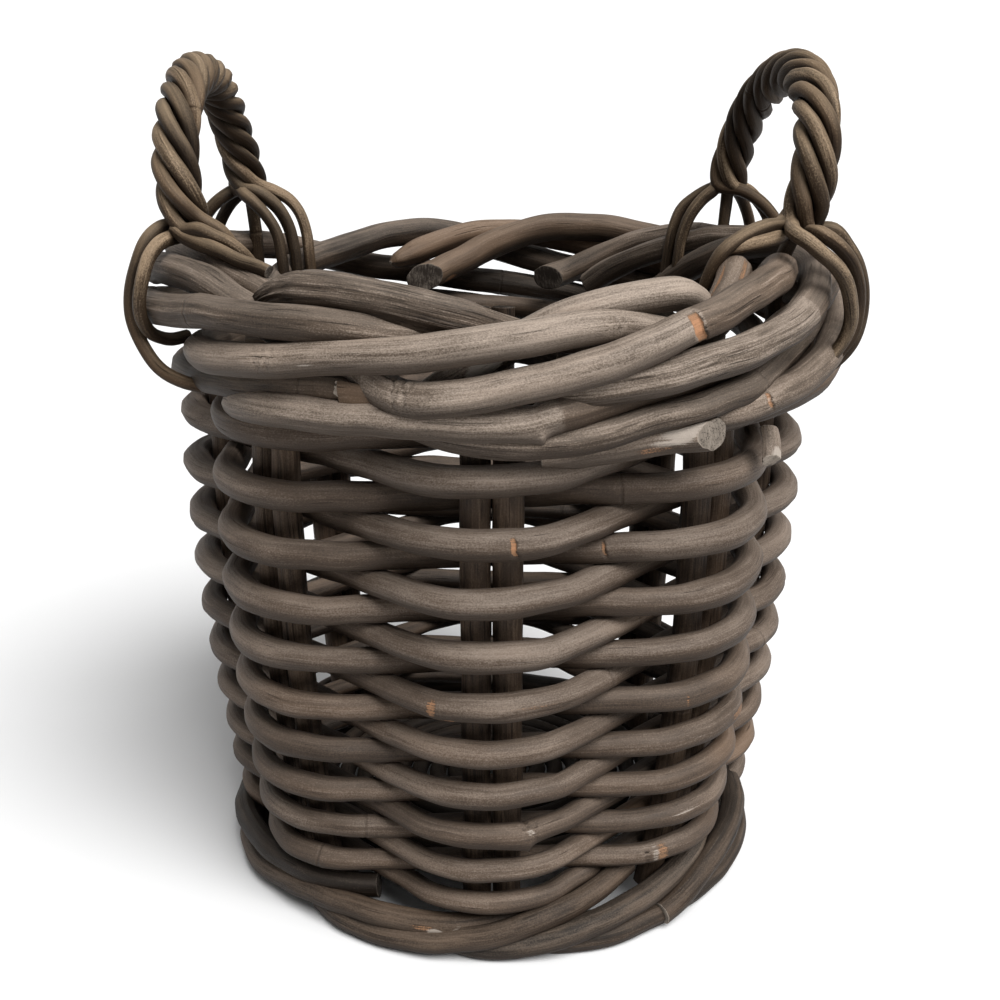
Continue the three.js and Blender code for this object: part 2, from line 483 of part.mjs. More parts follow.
/** The bow of a handle as a smooth curve, with the stretch that carries the canes. */
function bowCurve(handle) {
  const curve = new THREE.CatmullRomCurve3(overBorder(handle.bow), false, "centripetal");
  curve.arcLengthDivisions = 600;
  const ropeFoot = BORDER_HEIGHT + ROPE_FOOT_RISE;
  const shares = [];
  const samples = 600;
  for (let index = 1; index <= samples; index += 1) {
    const before = curve.getPointAt((index - 1) / samples).z;
    const after = curve.getPointAt(index / samples).z;
    if ((before - ropeFoot) * (after - ropeFoot) < 0) {
      shares.push(index / samples);
    }
  }
  return { curve, from: shares[0], to: shares[shares.length - 1] };
}

/** Sideways directions of a bow at a share of its length: away from the basket, and across. */
function bowFrame(curve, share, outward) {
  const along = curve.getTangentAt(share);
  const away = outward.clone().addScaledVector(along, -outward.dot(along)).normalize();
  return { away, across: new THREE.Vector3().crossVectors(along, away) };
}

/** One cane: up from the border, round the bow and down to the border again. */
function handleCane(handle, outward, index) {
  const { curve, from, to } = bowCurve(handle);
  const reach = (BOW_DIAMETER + CANE_DIAMETER) / 2 + CANE_GAP;
  const rope = [];
  const steps = Math.round(CANE_TURNS * CANE_STEPS);
  for (let step = 0; step <= steps; step += 1) {
    const share = THREE.MathUtils.lerp(from, to, step / steps);
    const { away, across } = bowFrame(curve, share, outward);
    const turn = 2 * Math.PI * (index / CANE_COUNT - (CANE_TURNS * step) / steps);
    const point = curve.getPointAt(share);
    point.addScaledVector(away, reach * Math.cos(turn));
    point.addScaledVector(across, reach * Math.sin(turn));
    rope.push(point);
  }
  const firstWay = overBorder(handle.firstWays[index]);
  const lastWay = overBorder(handle.lastWays[index]);
  const points = [...firstWay.reverse(), ...rope, ...lastWay];
  const radii = points.map((_, spot) => {
    const fromEnd = Math.min(spot / firstWay.length, (points.length - 1 - spot) / lastWay.length);
    return THREE.MathUtils.lerp(CANE_END_DIAMETER, CANE_DIAMETER, Math.min(1, fromEnd)) / 2;
  });
  return { points, radii, flats: points.map(() => 1), side: outward, carried: true, sides: CANE_SIDES };
}

/** The bow of a handle as a rod. */
function handleBow(handle, outward) {
  const points = smoothPath(overBorder(handle.bow), 16);
  return plainRod(points, BOW_DIAMETER, BOW_DIAMETER, outward, { carried: false });
}

/** Closed solid from a geometry. */
function solidOf(geometry) {
  const bare = mergeVertices(geometry, 1e-4);
  const mesh = new wasm.Mesh({
    numProp: 3,
    vertProperties: new Float32Array(bare.getAttribute("position").array),
    triVerts: new Uint32Array(bare.getIndex().array),
  });
  return new wasm.Manifold(mesh);
}

/** Geometry from a solid. */
function geometryOf(solid) {
  const mesh = solid.getMesh();
  const geometry = new THREE.BufferGeometry();
  geometry.setAttribute("position", new THREE.Float32BufferAttribute(mesh.vertProperties, 3));
  geometry.setIndex(Array.from(mesh.triVerts));
  geometry.computeVertexNormals();
  return geometry;
}

/** The largest body of a solid that a cut may have left in several. */
function largestBody(solid) {
  return solid.decompose().reduce((best, body) => (body.volume() > best.volume() ? body : best));
}

/** Whether two solids' boxes meet. */
function boxesMeet(one, two) {
  const a = one.boundingBox();
  const b = two.boundingBox();
  return [0, 1, 2].every((axis) => a.min[axis] < b.max[axis] && b.min[axis] < a.max[axis]);
}

/** Everything below the ground, as a solid to cut away. */
function groundBlock() {
  const block = new THREE.BoxGeometry(GROUND_SPAN, GROUND_SPAN, GROUND_DEPTH);
  block.deleteAttribute("normal");
  block.deleteAttribute("uv");
  block.translate(0, 0, -GROUND_DEPTH / 2);
  return solidOf(block);
}

/** Names, rods and bark of all pieces; where two press together the earlier keeps its shape. */
function allPieces() {
  const pieces = [];
  const add = (name, rod, bark) => pieces.push({ name, rod, bark });
  for (let pair = 0; pair < PAIR_COUNT; pair += 1) {
    stakePair(pair).forEach((rod, half) => {
      add(`stake_${pair + 1}${half === 0 ? "a" : "b"}`, rod, STAKE_BARK);
    });
  }
  strand(STRAND_A_SPLITS, 0, 0).forEach((rod, index) => add(`weaver_a${index + 1}`, rod, WEAVER_BARK));
  strand(STRAND_B_SPLITS, 45, 0.5).forEach((rod, index) => add(`weaver_b${index + 1}`, rod, WEAVER_BARK));
  for (const [name, { diameter, route }] of Object.entries(BORDER_ROUTES)) {
    const points = smoothPath(overBorder(route), BORDER_STEP);
    add(name, plainRod(points, diameter, diameter, UP), BORDER_BARK);
  }
  add("foot_ring", footRing(), FOOT_BARK);
  for (const [name, { diameter, route }] of Object.entries(FOOT_ROUTES)) {
    add(name, plainRod(smoothPath(roundFoot(route), FOOT_STEP), diameter, diameter, UP), FOOT_BARK);
  }
  add("base_bar_front", bottomBar(-1), FOOT_BARK);
  add("base_bar_back", bottomBar(1), FOOT_BARK);
  add("base_coil", bottomCoil(), FOOT_BARK);
  for (const [side, handle] of Object.entries(HANDLES)) {
    const outward = new THREE.Vector3(side === "left" ? -1 : 1, 0, 0);
    add(`handle_bow_${side}`, handleBow(handle, outward), HANDLE_BARK);
    for (let index = 0; index < CANE_COUNT; index += 1) {
      add(`handle_cane_${side}_${index + 1}`, handleCane(handle, outward, index), HANDLE_BARK);
    }
  }
  return pieces;
}

/** Solids of all pieces, each trimmed where it would run into an earlier one. */
function trimmedSolids(pieces) {
  const ground = groundBlock();
  const solids = pieces.map(({ rod }) => solidOf(rodGeometry(rod, 0)));
  const grown = pieces.map(({ rod }) => solidOf(rodGeometry(rod, TRIM_GAP)));
  for (let index = 0; index < solids.length; index += 1) {
    let solid = solids[index];
    if (boxesMeet(solid, ground)) {
      solid = solid.subtract(ground);
    }
    for (let earlier = 0; earlier < index; earlier += 1) {
      const neighbour = solids[earlier];
      if (boxesMeet(solid, neighbour) && solid.intersect(neighbour).volume() > OVERLAP_LIMIT) {
        solid = largestBody(solid.subtract(grown[earlier]));
      }
    }
    solids[index] = solid;
  }
  return solids;
}

/** The whole basket. */
function basket() {
  const group = new THREE.Group();
  const pieces = allPieces();
  const solids = trimmedSolids(pieces);
  pieces.forEach(({ name, bark }, index) => {
    const material = new THREE.MeshStandardMaterial({ ...bark, metalness: 0 });
    const mesh = new THREE.Mesh(geometryOf(solids[index]), material);
    mesh.name = name;
    group.add(mesh);
  });
  return group;
}

const group = basket();

export default group;
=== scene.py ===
"""Looks of a round planter basket woven from weathered rattan rods.

Every rod is built again in the place of its CAD node, as a dense mesh with knuckles, grooves,
cut ends and worn bark. Lengths are in millimetres until a mesh is made, which is in metres.
+Z is up, the basket stands on z = 0 and its front faces -Y. A bearing is an angle round the
basket in degrees, 0 at the front and 90 at +X.
"""

import logging
import math
from dataclasses import dataclass, field
from enum import Enum
from typing import Iterable

import bpy
import numpy as np
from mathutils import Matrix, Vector

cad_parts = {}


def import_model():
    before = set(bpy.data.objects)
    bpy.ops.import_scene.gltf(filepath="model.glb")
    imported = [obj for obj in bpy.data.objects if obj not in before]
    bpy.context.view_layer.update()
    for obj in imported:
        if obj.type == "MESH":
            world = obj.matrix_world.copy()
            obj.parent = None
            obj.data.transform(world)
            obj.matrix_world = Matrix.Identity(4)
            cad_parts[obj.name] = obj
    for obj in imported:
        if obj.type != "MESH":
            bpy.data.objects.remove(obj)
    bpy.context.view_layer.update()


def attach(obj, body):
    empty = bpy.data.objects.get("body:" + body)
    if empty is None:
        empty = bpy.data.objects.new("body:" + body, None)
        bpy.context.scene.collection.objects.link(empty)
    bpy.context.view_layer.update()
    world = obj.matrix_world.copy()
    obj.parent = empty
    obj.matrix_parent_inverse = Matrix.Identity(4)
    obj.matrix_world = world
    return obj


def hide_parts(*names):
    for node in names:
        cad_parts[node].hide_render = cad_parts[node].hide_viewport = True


LOG = logging.getLogger("basket")
METRES = 0.001
UP = np.array([0.0, 0.0, 1.0])

Colour = tuple[float, float, float]
Cells = tuple[float, float, float]
Route = tuple[tuple[float, float, float], ...]


# Shader expressions


class Port:
    """One output socket of a shader node; sums and products on it add Math nodes."""

    def __init__(self, graph: "Graph", socket: bpy.types.NodeSocket) -> None:
        """Keeps the graph and the socket that this port stands for."""
        self.graph = graph
        self.socket = socket

    def sibling(self, name: str) -> "Port":
        """Another output of the same node."""
        return Port(self.graph, self.socket.node.outputs[name])

    def math(self, operation: str, *values: "Port | float") -> "Port":
        """Result of a Math node whose first value is this port."""
        return self.graph.add("ShaderNodeMath", {"operation": operation}, dict(enumerate((self, *values))))

    def __add__(self, other: "Port | float") -> "Port":
        """This plus another value."""
        return self.math("ADD", other)

    __radd__ = __add__

    def __mul__(self, other: "Port | float") -> "Port":
        """This times another value."""
        return self.math("MULTIPLY", other)

    __rmul__ = __mul__

    def __sub__(self, other: "Port | float") -> "Port":
        """This minus another value."""
        return self.math("SUBTRACT", other)

    def __rsub__(self, other: float) -> "Port":
        """A number minus this."""
        return self.graph.add("ShaderNodeMath", {"operation": "SUBTRACT"}, {0: other, 1: self})

    def clamp(self) -> "Port":
        """This, held between 0 and 1."""
        return self.graph.add("ShaderNodeClamp", {}, {"Value": self})

    def rise(self, low: float, high: float) -> "Port":
        """Smooth step, which also falls where high is below low.

        Args:
            low: Where it is 0.
            high: Where it is 1.

        Returns:
            The step, held between 0 and 1.
        """
        first, last, start, end = (low, high, 0.0, 1.0) if low < high else (high, low, 1.0, 0.0)
        inputs = {"Value": self, "From Min": first, "From Max": last, "To Min": start, "To Max": end}
        return self.graph.add("ShaderNodeMapRange", {"interpolation_type": "SMOOTHSTEP"}, inputs)


class Graph:
    """The node tree of one new material."""

    def __init__(self, name: str) -> None:
        """Makes an empty material with an output node.

        Args:
            name: Name of the material.
        """
        self.material = bpy.data.materials.new(name)
        self.material.use_nodes = True
        self.tree = self.material.node_tree
        self.tree.nodes.clear()
        self.output = self.tree.nodes.new("ShaderNodeOutputMaterial")

    def add(self, kind: str, settings: dict, inputs: dict, output: int | str = 0) -> Port:
        """Adds one node.

        Args:
            kind: Blender's name for the node type.
            settings: Properties of the node, set first; "stops" fills a colour ramp.
            inputs: Values or ports by socket name or number.
            output: Name or number of the output that is wanted.

        Returns:
            The wanted output as a port.
        """
        node = self.tree.nodes.new(kind)
        for key, value in settings.items():
            if key == "stops":
                self._fill_ramp(node.color_ramp, value)
            else:
                setattr(node, key, value)
        for key, value in inputs.items():
            if isinstance(value, Port):
                self.tree.links.new(value.socket, node.inputs[key])
            else:
                node.inputs[key].default_value = value
        return Port(self, node.outputs[output])

    @staticmethod
    def _fill_ramp(ramp: bpy.types.ColorRamp, stops: Iterable[tuple[float, Colour]]) -> None:
        """Sets the stops of a colour ramp.

        Args:
            ramp: The ramp, which starts with two stops.
            stops: Position and colour of each stop, in order.
        """
        for index, (position, colour) in enumerate(stops):
            stop = ramp.elements[index] if index < 2 else ramp.elements.new(position)
            stop.position = position
            stop.color = (*colour, 1.0)

    def attribute(self, name: str) -> Port:
        """A vector that the mesh holds at each corner."""
        return self.add("ShaderNodeAttribute", {"attribute_name": name}, {}, "Vector")

    def parts(self, vector: Port) -> tuple[Port, Port, Port]:
        """The three numbers of a vector."""
        first = self.add("ShaderNodeSeparateXYZ", {}, {"Vector": vector}, "X")
        return first, first.sibling("Y"), first.sibling("Z")

    def noise(self, vector: Port, stretch: Cells, detail: float, roughness: float = 0.55) -> Port:
        """Noise over a stretched space.

        Args:
            vector: The space.
            stretch: Cells per metre along each axis of the space.
            detail: Octaves added to the first.
            roughness: Strength of the finer octaves.

        Returns:
            The noise less its middle value, mostly between -0.3 and 0.3.
        """
        scaled = self.add("ShaderNodeVectorMath", {"operation": "MULTIPLY"}, {0: vector, 1: stretch})
        inputs = {"Vector": scaled, "Scale": 1.0, "Detail": detail, "Roughness": roughness}
        return self.add("ShaderNodeTexNoise", {}, inputs) - 0.5

    def blend(self, factor: Port | float, first: Port | Colour, second: Port | Colour) -> Port:
        """Mix of two colours.

        Args:
            factor: Share of the second colour.
            first: First colour.
            second: Second colour.

        Returns:
            The mixed colour.
        """
        colours = [value if isinstance(value, Port) else (*value, 1.0) for value in (first, second)]
        settings = {"data_type": "RGBA", "clamp_factor": True}
        return self.add("ShaderNodeMix", settings, {0: factor, 6: colours[0], 7: colours[1]}, 2)

    def finish(
        self, colour: Port, roughness: Port | float, height: Port, relief: float, gloss: float
    ) -> bpy.types.Material:
        """Ends the tree in a surface shader.

        Args:
            colour: Base colour.
            roughness: Roughness.
            height: Height of the fine relief, 0 to 1.
            relief: What a height of 1 stands for, in metres.
            gloss: Specular level.

        Returns:
            The finished material.
        """
        bump = self.add("ShaderNodeBump", {}, {"Strength": 1.0, "Distance": relief, "Height": height})
        inputs = {"Base Color": colour, "Roughness": roughness, "Normal": bump, "Specular IOR Level": gloss}
        shader = self.add("ShaderNodeBsdfPrincipled", {}, inputs)
        self.tree.links.new(shader.socket, self.output.inputs["Surface"])
        return self.material


# Finishes


@dataclass(frozen=True)
class Grain:
    """One scale of noise on a rod: cells per metre along it and across it, and its octaves."""

    along: float
    across: float
    detail: float
    roughness: float = 0.55

    def over(self, graph: Graph, space: Port) -> Port:
        """The noise over a rod's straightened space."""
        return graph.noise(space, (self.along, self.across, self.across), self.detail, self.roughness)


@dataclass(frozen=True)
class Bark:
    """Weathered rattan bark, with grain along the rod, knuckle rings and worn places.

    The colours deep, body and pale are the ramp of its tone. The widths of a knuckle's seam and
    collar are where each fades in and is full, in metres from the knuckle. An edge is where
    cracks, torn bark or scratches begin and are full, and a cover is how much of the bark's
    colour each of them hides.
    """

    name: str
    deep: Colour
    body: Colour
    pale: Colour
    tan: Colour = (0.170, 0.100, 0.056)
    fibre: Colour = (0.38, 0.185, 0.092)
    # Colour of the painted shade laid on what faces down.
    shadow: Colour = (0.020, 0.012, 0.007)
    chalk: Colour = (0.42, 0.37, 0.32)
    # Share of the painted shade laid on what faces down.
    under: float = 0.85
    # Share of the pale colour on what faces up: part sun-bleaching, part painted light from above.
    bleach_and_top_light: float = 0.30
    grain: float = 1.0
    roughness: float = 0.62
    gloss: float = 0.22
    relief: float = 0.0006
    seam_widths: tuple[float, float] = (0.0011, 0.0003)
    collar_widths: tuple[float, float] = (0.0075, 0.0015)
    ring_waver: float = 0.0025
    crack_edge: tuple[float, float] = (0.20, 0.28)
    worn_edge: tuple[float, float] = (0.42, 0.70)
    chalk_edge: tuple[float, float] = (0.55, 0.95)
    warm_cover: float = 0.5
    seam_cover: float = 0.13
    worn_cover: float = 0.88
    fray_cover: float = 0.5
    chalk_cover: float = 0.62
    drift: Grain = Grain(5.0, 28.0, 2.0)
    patch: Grain = Grain(30.0, 90.0, 3.0, 0.6)
    strand: Grain = Grain(12.0, 420.0, 3.0, 0.6)
    thread: Grain = Grain(46.0, 1250.0, 2.0, 0.6)
    hair: Grain = Grain(30.0, 820.0, 2.0, 0.5)
    speck: Grain = Grain(1300.0, 1700.0, 2.0, 0.7)

    def material(self) -> bpy.types.Material:
        """Makes the material.

        Returns:
            The bark as a material that reads the rod's attributes.
        """
        graph = Graph(self.name)
        space = graph.attribute("rod_space")
        tone, warmth, ring = graph.parts(graph.attribute("rod_look"))
        peel, split, scuff = graph.parts(graph.attribute("rod_wear"))
        facing = graph.parts(graph.add("ShaderNodeNewGeometry", {}, {}, "Normal"))[2]
        drift, patch, strand, thread, hair, speck = (
            noise.over(graph, space)
            for noise in (self.drift, self.patch, self.strand, self.thread, self.hair, self.speck)
        )

        band = (ring + patch * self.ring_waver).math("ABSOLUTE")
        seam = band.rise(*self.seam_widths)
        collar = band.rise(*self.collar_widths) - seam
        crack = (hair + split * 0.13).rise(*self.crack_edge) * self.grain
        streak = (strand * (1.2 * self.grain) + thread * (1.1 * self.grain)) * (split + 0.30)
        shade = tone + drift * 0.9 + patch * 0.6 + streak * 0.9 + speck * 0.85 + collar * 0.04
        ramp = {"stops": ((0.0, self.deep), (0.5, self.body), (1.0, self.pale))}
        colour = graph.add("ShaderNodeValToRGB", ramp, {0: shade.clamp()})
        uneven = strand * 1.4 + patch * 1.4 + speck * 0.7 + 0.8
        # What faces up pales: part sun-bleaching, part painted light from above.
        colour = graph.blend((facing.rise(-0.1, 1.0) * self.bleach_and_top_light * uneven).clamp(), colour, self.pale)
        warm = (warmth + drift * 1.5 + strand * 0.7 + patch * 0.7 - 0.12).clamp()
        colour = graph.blend(warm * self.warm_cover, colour, self.tan)
        # Painted shade: what faces down darkens towards the shadow colour.
        colour = graph.blend(facing.rise(0.35, -0.65) * self.under, colour, self.shadow)
        colour = graph.blend(crack * (split * 0.35 + 0.40).clamp(), colour, self.deep)
        colour = graph.blend(seam * self.seam_cover, colour, self.deep)
        worn = (peel + strand * 0.5 + thread * 0.5 + speck * 0.6 + patch * 0.7).rise(*self.worn_edge)
        raw = graph.blend((peel + thread * 1.6 + strand + speck - 0.42).clamp(), self.tan, self.fibre)
        colour = graph.blend(worn * self.worn_cover, colour, raw)
        fray = (worn - 0.35).math("ABSOLUTE").rise(0.3, 0.0) * peel.rise(0.15, 0.5)
        colour = graph.blend(fray * self.fray_cover, colour, self.deep)
        chalk = (scuff + strand * 1.3 + thread * 0.9 + speck * 0.4).rise(*self.chalk_edge)
        colour = graph.blend(chalk * self.chalk_cover, colour, self.chalk)

        rough = self.roughness + patch * 0.35 + speck * 0.25 - collar * 0.05 + worn * 0.2 + crack * 0.2
        height = 0.5 + streak * 0.75 + speck * 0.40
        height = height + patch * 0.3 - crack * (split * 0.5 + 0.4) - seam * 0.4 - worn * 0.3
        return graph.finish(colour, rough.clamp(), height, self.relief, self.gloss)


@dataclass(frozen=True)
class EndGrain:
    """Sawn face of a rod, full of fine pores, whose edge is where each begins and is full."""

    name: str
    dark: Colour
    light: Colour
    pore_cells: float = 1300.0
    pore_edge: tuple[float, float] = (0.42, 0.1)
    saw_cells: Cells = (60.0, 260.0, 1500.0)
    stain: Grain = Grain(60.0, 160.0, 2.0)
    roughness: float = 0.85
    gloss: float = 0.25
    relief: float = 0.0004

    def material(self) -> bpy.types.Material:
        """Makes the material.

        Returns:
            The end grain as a material that reads the rod's attributes.
        """
        graph = Graph(self.name)
        space = graph.attribute("rod_space")
        tone = graph.parts(graph.attribute("rod_look"))[0]
        cells = {"Vector": space, "Scale": self.pore_cells}
        pores = graph.add("ShaderNodeTexVoronoi", {}, cells, "Distance")
        saw = graph.noise(space, self.saw_cells, 2.0)
        stain = self.stain.over(graph, space)
        pore = pores.rise(*self.pore_edge)
        shade = (tone + stain * 0.6 + saw * 0.5 - pore * 0.25).clamp()
        colour = graph.blend(shade, self.dark, self.light)
        height = 0.6 - pore * 0.6 + saw * 0.9
        return graph.finish(colour, self.roughness, height, self.relief, self.gloss)


@dataclass(frozen=True)
class Plaster:
    """Plain pale floor."""

    name: str
    colour: Colour
    mottle_cells: Cells = (3.0, 3.0, 3.0)
    mottle_shade: float = 0.97
    roughness: float = 0.9
    gloss: float = 0.2
    relief: float = 0.0002

    def material(self) -> bpy.types.Material:
        """Makes the material.

        Returns:
            A matt material with a barely visible mottle.
        """
        graph = Graph(self.name)
        position = graph.add("ShaderNodeNewGeometry", {}, {}, "Position")
        mottle = graph.noise(position, self.mottle_cells, 2.0)
        darker = tuple(self.mottle_shade * value for value in self.colour)
        colour = graph.blend((mottle + 0.5).clamp(), self.colour, darker)
        return graph.finish(colour, self.roughness, mottle * 0.1, self.relief, self.gloss)


class Finishes:
    """All materials of the basket, each made once."""

    def __init__(self) -> None:
        """Makes the barks and the end grains."""
        self.stake = Bark(
            "stake_bark", (0.008, 0.005, 0.004), (0.062, 0.042, 0.029), (0.17, 0.124, 0.088), bleach_and_top_light=0.1
        )
        self.weaver = Bark(
            "weaver_bark", (0.010, 0.006, 0.004), (0.070, 0.0475, 0.0325), (0.235, 0.190, 0.155)
        )
        self.border = Bark(
            "border_bark", (0.011, 0.007, 0.004), (0.083, 0.060, 0.043), (0.37, 0.302, 0.246)
        )
        # Darker than the other barks, with all of the underside shade: painted shade of the basket's
        # bottom, with some dirt.
        self.foot = Bark(
            "foot_bark", (0.005, 0.003, 0.002), (0.0112, 0.0076, 0.0052), (0.111, 0.086, 0.066), under=1.0
        )
        self.handle = Bark(
            "handle_bark", (0.004, 0.002, 0.001), (0.043, 0.028, 0.0163), (0.375, 0.278, 0.184),
            bleach_and_top_light=0.46, grain=0.9, roughness=0.58, gloss=0.12,
        )
        self.end = EndGrain("end_grain", (0.020, 0.014, 0.010), (0.40, 0.34, 0.28))
        self._made: dict[str, bpy.types.Material] = {}

    def get(self, finish: Bark | EndGrain) -> bpy.types.Material:
        """The material of a finish, made on first use.

        Args:
            finish: The finish.

        Returns:
            Its material.
        """
        if finish.name not in self._made:
            self._made[finish.name] = finish.material()
        return self._made[finish.name]


# Rods


class Wear(Enum):
    """Kinds of worn place on a rod."""

    PEEL = "bark torn off down to tan fibre"
    SPLIT = "dark crack"
    SCUFF = "pale scratch"
    KINK = "sharp bend with crushed bark"
    POINT = "sharp bend that stands out in a corner"
    BREAK = "bark broken across, with a raised edge"
    BAND = "dark band round the rod"
    STAIN = "reddish stretch"


class Cut(Enum):
    """How a rod ends."""

    SAWN = "sawn square"
    TORN = "broken off"
    TAPERED = "pared thin"
    ROUNDED = "worn to a blunt tip"


class Side(Enum):
    """How the sides of a rod are kept from turning."""

    UPRIGHT = "the first side faces up"
    OUTWARD = "the first side faces away from the basket"
    CARRIED = "the sides are carried along the rod"


@dataclass(frozen=True)
class Mark:
    """A worn place: bearing along the rod, degrees round it from its first side, half sizes in mm."""

    kind: Wear
    bearing: float
    around: float = 90.0
    length: float = 6.0
    width: float = 5.0
    strength: float = 1.0


@dataclass(frozen=True)
class End:
    """One end of a rod: kind of cut, tilt of its face, side that the tilt faces, and tone.

    A pared end tapers over its length down to a share of the radius. A blunt end does the same
    and is rounded off over its nose.
    """

    cut: Cut = Cut.SAWN
    tilt: float = 5.0
    around: float = 0.0
    tone: float = 0.45
    pared_length: float = 30.0
    pared_share: float = 0.26
    blunt_length: float = 26.0
    blunt_share: float = 0.5
    nose: float = 3.2

    def girth(self, gone: np.ndarray) -> np.ndarray:
        """Share of the full radius that is left near the end.

        Args:
            gone: Distances from the end.

        Returns:
            The share at each distance.
        """
        if self.cut is Cut.TAPERED:
            slope = np.clip(gone / self.pared_length, 0, 1) ** 0.8
            return self.pared_share + (1 - self.pared_share) * slope
        if self.cut is Cut.ROUNDED:
            slope = np.sin(np.clip(gone / self.blunt_length, 0, 1) * math.pi / 2)
            nose = np.sqrt(np.clip(gone / self.nose, 0.08, 1))
            return (self.blunt_share + (1 - self.blunt_share) * slope) * nose
        return np.ones_like(gone)


@dataclass(frozen=True)
class Habit:
    """How one rod differs from a plain tube.

    The grain is the strength of its cracks and streaks where it has no mark, and the shade of its
    grooves is painted shade: how much darker it is on the side that faces the core of a rope. A
    step is a bearing and the change from there on.
    """

    tone: float = 0.5
    warmth: float = 0.1
    furrow: float = 0.12
    grain: float = 0.25
    groove_shade: float = 0.0
    knuckle_gap: float = 900.0
    knuckle_rise: float = 0.2
    wander: float = 0.6
    swell: float = 0.035
    start: End = End()
    end: End = End()
    marks: tuple[Mark, ...] = ()
    tone_steps: tuple[tuple[float, float], ...] = ()
    warmth_steps: tuple[tuple[float, float], ...] = ()
    sides: int = 32
    step: float = 3.0


def place(bearing: float, radius: float, height: float) -> np.ndarray:
    """Point at a bearing, a radius from the axis and a height."""
    turn = math.radians(bearing)
    return np.array([radius * math.sin(turn), -radius * math.cos(turn), height])


def places(route: Iterable[tuple[float, float, float]]) -> np.ndarray:
    """Points of a route of bearing, radius and height."""
    return np.array([place(*spot) for spot in route])


# Waves: how much weaker and closer each sine wave is than the one before it
WAVE_FALL = 0.6
WAVE_CLOSER = 0.83

# Curves: length of the steps that are cut between two knots
CURVE_STEP = 0.4


def wave(along: np.ndarray, rng: np.random.Generator, longest: float, count: int = 4) -> np.ndarray:
    """Smooth random curve.

    Args:
        along: Where it is wanted.
        rng: Source of random numbers.
        longest: Longest wavelength.
        count: Number of sine waves that are added.

    Returns:
        Values between -1 and 1.
    """
    total = np.zeros_like(along)
    weight = 0.0
    for index in range(count):
        strength = 1.0 / (1.0 + WAVE_FALL * index)
        pitch = longest / (1.0 + WAVE_CLOSER * index)
        total += strength * np.sin(2 * math.pi * along / pitch + rng.uniform(0, 2 * math.pi))
        weight += strength
    return total / weight


def bell(values: np.ndarray, width: float, middle: float = 0.0) -> np.ndarray:
    """Smooth hump that is 1 at its middle and nearly 0 at twice its width."""
    return np.exp(-(((values - middle) / width) ** 2))


@dataclass(frozen=True)
class Drift:
    """A random change along a rod: its size, and its longest wave in millimetres."""

    size: float
    longest: float

    def over(self, along: np.ndarray, rng: np.random.Generator) -> np.ndarray:
        """The change at distances along the rod."""
        return self.size * wave(along, rng, self.longest)


def lengths(points: np.ndarray) -> np.ndarray:
    """Distance along a line of points, from its first point to each."""
    return np.concatenate(([0.0], np.cumsum(np.linalg.norm(np.diff(points, axis=0), axis=1))))


def between(points: np.ndarray, along: np.ndarray, wanted: np.ndarray) -> np.ndarray:
    """Points of a line at wanted distances along it."""
    return np.stack([np.interp(wanted, along, points[:, axis]) for axis in range(points.shape[1])], axis=1)


def curve(knots: np.ndarray, spacing: float = 0.8) -> np.ndarray:
    """Centripetal Catmull-Rom curve through knots.

    Args:
        knots: Points that the curve passes through.
        spacing: Wanted distance between the returned points.

    Returns:
        Evenly spaced points on the curve.
    """
    padded = np.vstack([2 * knots[0] - knots[1], knots, 2 * knots[-1] - knots[-2]])
    points = []
    for index in range(1, len(padded) - 2):
        a, b, c, d = padded[index - 1 : index + 3]
        t0, t1, t2 = (max(1e-4, math.sqrt(np.linalg.norm(q - p))) for p, q in ((a, b), (b, c), (c, d)))
        leave = ((b - a) / t0 - (c - a) / (t0 + t1) + (c - b) / t1) * t1
        arrive = ((c - b) / t1 - (d - b) / (t1 + t2) + (d - c) / t2) * t1
        count = max(4, int(np.linalg.norm(c - b) / CURVE_STEP))
        t = (np.arange(count) / count)[:, None]
        cubic = (2 * b - 2 * c + leave + arrive) * t**3
        points.append(cubic + (-3 * b + 3 * c - 2 * leave - arrive) * t**2 + leave * t + b)
    points.append(knots[-1:])
    dense = np.vstack(points)
    along = lengths(dense)
    return between(dense, along, np.linspace(0, along[-1], max(8, int(along[-1] / spacing))))


def bearings_of(points: np.ndarray, first: float) -> np.ndarray:
    """Bearing of each point of a line, without jumps, with the first near a given bearing."""
    turns = np.degrees(np.unwrap(np.arctan2(points[:, 0], -points[:, 1])))
    return turns + 360 * round((first - turns[0]) / 360)


@dataclass
class Centreline:
    """Middle of a rod: points with their radius, flattening and bearing.

    The shade is a change of tone at each point. The core is the nearest point of the core of a rope.
    """

    points: np.ndarray
    radii: np.ndarray
    flats: np.ndarray
    bearings: np.ndarray
    side: Side = Side.UPRIGHT
    first_side: np.ndarray = field(default_factory=lambda: UP.copy())
    shade: np.ndarray | None = None
    core: np.ndarray | None = None

    @classmethod
    def even(
        cls, points: np.ndarray, size: float, bearings: np.ndarray,
        side: Side = Side.UPRIGHT, flat: float = 1.0,
    ) -> "Centreline":
        """Line of a rod of one size.

        Args:
            points: Its points.
            size: Its diameter.
            bearings: Bearing of each point, or another measure that grows along the rod.
            side: How its sides are kept from turning.
            flat: Height of its section as a share of the diameter.

        Returns:
            The line.
        """
        return cls(points, np.full(len(points), size / 2), np.full(len(points), flat), bearings, side)

    @classmethod
    def along_route(
        cls, route: Route, size: float, side: Side = Side.UPRIGHT, flat: float = 1.0
    ) -> "Centreline":
        """Line of a rod of one size through the places of a route.

        Args:
            route: Bearing, radius and height of each place.
            size: Its diameter.
            side: How its sides are kept from turning.
            flat: Height of its section as a share of the diameter.

        Returns:
            The line.
        """
        points = curve(places(route))
        return cls.even(points, size, bearings_of(points, route[0][0]), side, flat)


